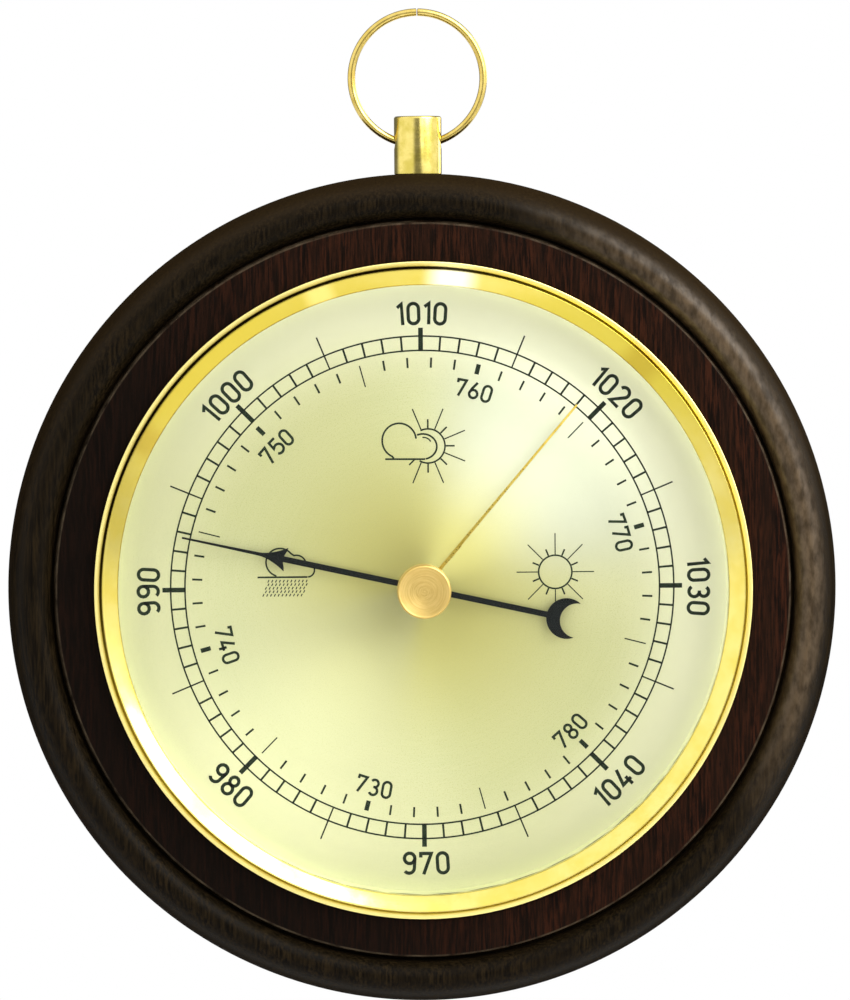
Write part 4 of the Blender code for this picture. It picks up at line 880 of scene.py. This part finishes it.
def build_pointer():
    """A needle with an arrowhead, a round hub, and a crescent moon at the tail's end."""
    needle, tail = 0.27, 0.42
    head_top, head_length, barb = 26.2, 4.3, 1.63
    right = [(0.15, 38.6), (0.2, 32.0), (needle, head_top)]
    # the arrowhead flares out in a hollow curve
    for step in range(1, 11):
        share = step / 10
        right.append((needle + barb * share**1.7, head_top - head_length * share))
    right += [(1.2, 22.05), (tail, 22.4)]
    hub = math.degrees(math.acos(tail / HUB_RADIUS))
    right += arc((0, 0), (HUB_RADIUS, HUB_RADIUS), hub, -hub, 24)
    # the crescent is a disc with a smaller disc bitten out of its far side
    moon_y, moon, bite_y, bite = -23.1, 3.2, -24.8, 2.72
    apart = moon_y - bite_y
    along = (apart**2 + moon**2 - bite**2) / (2 * apart)
    horn_x = math.sqrt(moon**2 - along**2)
    join = math.degrees(math.asin(tail / moon))
    horn = math.degrees(math.atan2(-along, horn_x))
    right += arc((0, moon_y), (moon, moon), 90 - join, horn, 30)
    horn_in = math.degrees(math.atan2(apart - along, horn_x))
    right += arc((0, bite_y), (bite, bite), horn_in, 90, 24)[1:-1]
    outline = right + [(0, bite_y + bite)] + [(-x, y) for x, y in reversed(right)]
    hand = sheet_hand("pointer_hand", outline, POINTER_BACK, POINTER_DEG,
                      "pointer_body", BLACK, 0.05)
    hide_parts("pointer")


def build_set_hand():
    """A slender hand with a round hub."""
    hub = math.degrees(math.acos(0.24 / HUB_RADIUS))
    outline = [(0.17, 37.5), (0.18, 9.2), (0.32, 8.9)]
    outline += arc((0, 0), (HUB_RADIUS, HUB_RADIUS), hub, -180 - hub, 48)
    outline += [(-0.26, 9.0), (-0.17, 37.5), (0.0, 37.65)]
    hand = sheet_hand("set_hand_brass", outline, SET_HAND_BACK, SET_HAND_DEG,
                      "set_body", HAND_BRASS, 0.04)
    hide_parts("set_hand")


def build_knob():
    """A turned knob with a groove round its side, a rounded top edge and a bore."""
    radius, bore, foot, groove = 4.2, 1.4, 11.8, 12.9
    profile = [(0, 13.8), (bore, 13.8), (bore, foot), (radius - 0.25, foot), (radius - 0.05, foot + 0.2)]
    profile += [(radius, foot + 0.4), (radius, groove), (radius - 0.12, groove + 0.1)]
    profile += [(radius - 0.12, groove + 0.3), (radius, groove + 0.4), (radius, 15.3)]
    profile += arc((3.85, 15.4), (0.35, 0.4), 0, 80, 6)
    profile += [(3.7, 15.72), (0, 15.66)]
    knob = turned("knob_turned", profile, "set_body", KNOB_BRASS, MEDIUM)
    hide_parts("set_knob")


# ---- back


def build_can():
    """A drawn can with a rounded bottom edge and a pressed stiffening ring."""
    back, bend, rim = -13.9, -12.4, 8.6
    outside, inside, middle = 48.9, 48.3, 47.4
    profile = [(0, back), (25.8, back), (26.0, back), (26.4, back + 0.15), (27.6, back + 0.15)]
    profile += [(28.0, back), (28.2, back), (47.2, back)] + arc((middle, bend), (1.5, 1.5), -90, 0, 10)
    profile += [(outside, rim - 0.15), (outside - 0.15, rim), (inside + 0.15, rim), (inside, rim - 0.15)]
    profile += arc((middle, bend), (0.9, 0.85), 0, -90, 8)
    profile += [(0, back + 0.65)]
    can = turned("can_drawn", profile, "case", CAN_STEEL)
    holes = bmesh.new()
    spots = [((-22.0, 0.0), 3.0), ((0.0, -20.0), 1.5)]
    spots += [(polar(SCREW_CIRCLE, degrees), 1.3) for degrees in (0, 120, 240)]
    for spot, radius in spots:
        plug(holes, radius, -15, -12.5, rotated(0, spot))
    cut(can, holes)
    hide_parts("housing_can")


def slotted_screw(node, middle, turn_deg, head_radius, head_back, shank_end):
    """A slotted pan head that faces the back, with its slot turned to a given angle."""
    head_front, crown, shank, half_slot = head_back + 1.0, 0.45, 1.0, 0.25
    shares = (0, 0.3, 0.5, 0.7, 0.85, 0.95)
    profile = [(head_radius * share, head_back + crown * share**3) for share in shares]
    profile += [(head_radius, head_back + crown * 1.15), (head_radius, head_front)]
    profile += [(shank, head_front), (shank, shank_end), (0, shank_end)]
    made = turned(f"{node}_fine", profile, "case", SCREW_STEEL, SMALL, rotated(0, middle))
    slot = bmesh.new()
    reach = head_radius + 1
    outline = [(-reach, -half_slot), (reach, -half_slot), (reach, half_slot), (-reach, half_slot)]
    slab(slot, outline, head_back - 1, head_back + 0.45, rotated(turn_deg, middle))
    cut(made, slot)
    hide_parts(node)


def build_back():
    """Three screwed clips that hold the insert in the case, and the movement's three screws."""
    middle, half, radius, back, front = 50.0, 5.8, 3.5, -15.1, -14.3
    bar = arc((0, middle + half - radius), (radius, radius), 0, 180, 16)
    bar += arc((0, middle - half + radius), (radius, radius), 180, 360, 16)
    for index, degrees in enumerate((30, 270, 150), start=1):
        bm = bmesh.new()
        slab(bm, bar, back, front, rotated(degrees))
        break_edges(bm, max(vert.co.y for vert in bm.verts), 0.15, 0.5)
        clip = new_object(f"clip_{index}", bm, "case", SCREW_STEEL)
        hole = bmesh.new()
        spot = polar(CLIP_SCREW_CIRCLE, degrees)
        plug(hole, 1.3, -17, -13, rotated(0, spot))
        cut(clip, hole)
        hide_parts(f"retaining_clip_{index}")
        slotted_screw(f"clip_screw_{index}", spot, 20 + 47 * index, 2.2, -16.4, -6.5)
    for index, degrees in enumerate((0, 240, 120), start=1):
        spot = polar(SCREW_CIRCLE, degrees)
        slotted_screw(f"movement_screw_{index}", spot, 75 * index, 2.4, -15.2, -11.7)


# ---- movement


def build_capsule():
    """Two rippled diaphragms. The lower one rides on the case, and the upper one stays on the seam at its
    rim.
    """
    middle = (CAPSULE_BACK + CAPSULE_FRONT) / 2
    gap, sheet, rim, wall, boss = 0.15, 0.4, 15.0, 12.9, 4.2
    rise = (CAPSULE_FRONT - CAPSULE_BACK) / 2 - gap
    outer = [(rim, sheet - 0.04), (rim - 0.04, sheet), (13.85, sheet), (13.7, sheet + 0.06)]
    outer += [(wall + 0.2, rise - 0.5), (wall, rise - 0.4)]
    ripple, ripples, steps = 0.3, 2.25, 28
    for step in range(1, steps):
        share = step / steps
        height = rise - 0.4 - ripple * math.sin(share * ripples * math.tau)
        outer.append((wall - share * (wall - boss), height))
    outer += [(boss, rise), (0, rise)]
    inner = [(radius, height - sheet) for radius, height in reversed(outer[2:])] + [(rim, 0.0)]
    for name, side in (("lower", -1), ("upper", 1)):
        node, seam = f"capsule_{name}_diaphragm", middle + side * gap
        profile = [(radius, seam + side * height) for radius, height in outer + inner]
        body = "case" if side < 0 else None
        made = turned(f"diaphragm_{name}", profile, body, SPRING_BRONZE, MEDIUM)
        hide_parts(node)
        if side > 0:
            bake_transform(made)


def build_chain():
    """The chain's wire links, from the tall arm to the drum."""
    start, end = Vector((26.9, -2.9)), Vector((0.0, -0.7))
    height, links, around, section, wire, half_width = -0.8, 26, 16, 5, 0.05, 0.13
    along = (end - start).normalized()
    side = Vector((-along.y, along.x))
    pitch = (end - start).length / links
    bm = bmesh.new()
    for link in range(links):
        middle = start + along * pitch * (link + 0.5)
        points = arc((0, 0), (pitch * 0.62, half_width), 0, 360, around)[:-1]
        flat = link % 2 == 0
        rings = []
        for index, (far, wide) in enumerate(points):
            run = (Vector(points[(index + 1) % around]) - Vector(points[index - 1])).normalized()
            ring = []
            for corner in range(section):
                turn = math.tau * corner / section
                reach, lift = wire * math.cos(turn), wire * math.sin(turn)
                u, v, w = far + run.y * reach, wide - run.x * reach, lift
                # every other link stands on edge
                if not flat:
                    v, w = w, v
                spot = middle + along * u + side * v
                ring.append(bm.verts.new(at(spot.x, spot.y, height + w)))
            rings.append(ring)
        skin(bm, rings + rings[:1])
    chain = new_object("chain_links", bm, None, SCREW_STEEL, 60)
    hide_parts("chain")
    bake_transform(chain)


# The CAD's own nodes are as listed, or steel if named with one of these words, or brass
STEEL_WORDS = ("screw", "nut", "arbor", "shaft", "rivet")
CAD_LOOKS = {
    "glass_gasket": RUBBER,
    "hairspring": SPRING_BRONZE,
    "mainspring": BLUED_STEEL,
    "knife_edge_pin": BLUED_STEEL,
    "set_spindle": KNOB_BRASS,
}


def dress_cad_nodes():
    for name, node in frame["nodes"].items():
        steel = any(word in name for word in STEEL_WORDS)
        look = CAD_LOOKS.get(name, SCREW_STEEL if steel else MOVEMENT_BRASS)
        node.data.materials.clear()
        node.data.materials.append(look)


# ---- stage


def build_stage():
    """A pale round floor well below the part, and the studio's white surroundings."""
    bm = bmesh.new()
    reach, low, high = 4.0, -0.72, -0.70
    lathe(bm, [(0, low), (reach, low), (reach, high), (0, high)], lambda *place: Vector(place), MEDIUM)
    floor = new_object("floor", bm, None, paper_floor())
    world = bpy.data.worlds.new("studio")
    bpy.context.scene.world = world
    world.use_nodes = True
    studio = Nodes(world.node_tree)
    studio.tree.nodes.clear()
    # what the part mirrors is white all round the sides, dimmer straight in front and behind
    depth = studio.add("SeparateXYZ", {0: studio.add("TexCoord", out="Generated")}, "Y")
    front = studio.smooth(depth, -0.985, -0.88, 0.3, 1.50)
    level = studio.times(front, studio.smooth(depth, 0.15, 0.65, 1.0, 0.15))
    soft = studio.add("Background", {"Color": (1.0, 0.985, 0.95, 1.0), "Strength": level})
    # and what the camera sees behind it is plain white
    plain = studio.add("Background", {"Color": (1.0, 1.0, 1.0, 1.0), "Strength": 1.0})
    seen = studio.add("LightPath", out="Is Camera Ray")
    shown = studio.add("MixShader", {0: seen, 1: soft, 2: plain})
    studio.feed(studio.tree.nodes.new("ShaderNodeOutputWorld"), {0: shown})


def soft_light(name, direction, distance, size, power, colour=(1, 1, 1)):
    data = bpy.data.lights.new(name, "AREA")
    data.shape = "DISK"
    data.size = size
    data.energy = power
    data.color = colour
    light = bpy.data.objects.new(name, data)
    bpy.context.scene.collection.objects.link(light)
    way = Vector(direction).normalized()
    light.location = AXIS + way * distance
    light.visible_camera = False
    light.rotation_mode = "QUATERNION"
    light.rotation_quaternion = way.to_track_quat("Z", "Y")


def build_camera():
    """A long lens, a little to the left of the dial and a little above it."""
    distance, azimuth, elevation = 0.95, math.radians(-1.5), math.radians(3.4)
    lens, aim_up, aim_right, roll = 217.6, 13.80, 0.50, 0.45
    data = bpy.data.cameras.new("camera")
    data.lens = lens
    data.sensor_width = 36.0
    data.clip_end = 20.0
    camera = bpy.data.objects.new("camera", data)
    bpy.context.scene.collection.objects.link(camera)
    level = math.cos(elevation)
    back = Vector((math.sin(azimuth) * level, -math.cos(azimuth) * level, math.sin(elevation)))
    middle = at(0, 0, DIAL_FRONT)
    camera.location = middle + back * distance
    target = at(aim_right, aim_up, DIAL_FRONT)
    way = (camera.location - target).normalized()
    camera.rotation_mode = "QUATERNION"
    upright_turn = way.to_track_quat("Z", "Y")
    camera.rotation_quaternion = upright_turn @ Matrix.Rotation(math.radians(-roll), 4, "Z").to_quaternion()
    bpy.context.scene.camera = camera


def main():
    for build in (build_case, build_bezel, build_glass, build_ring, build_post, build_dial, build_pointer,
                  build_set_hand, build_knob, build_can, build_back, build_capsule, build_chain,
                  dress_cad_nodes, build_stage):
        build()
    soft_light("key", (0.61, -0.50, 0.61), 1.1, 1.1, 20.0, (1.0, 0.985, 0.95))
    soft_light("front", (0.30, -0.90, 0.28), 1.25, 0.45, 0.95)
    soft_light("back", (0.75, 0.62, 0.30), 1.2, 0.7, 4.5, (1.0, 0.93, 0.80))
    build_camera()
    bpy.context.scene.view_settings.view_transform = "Standard"


main()
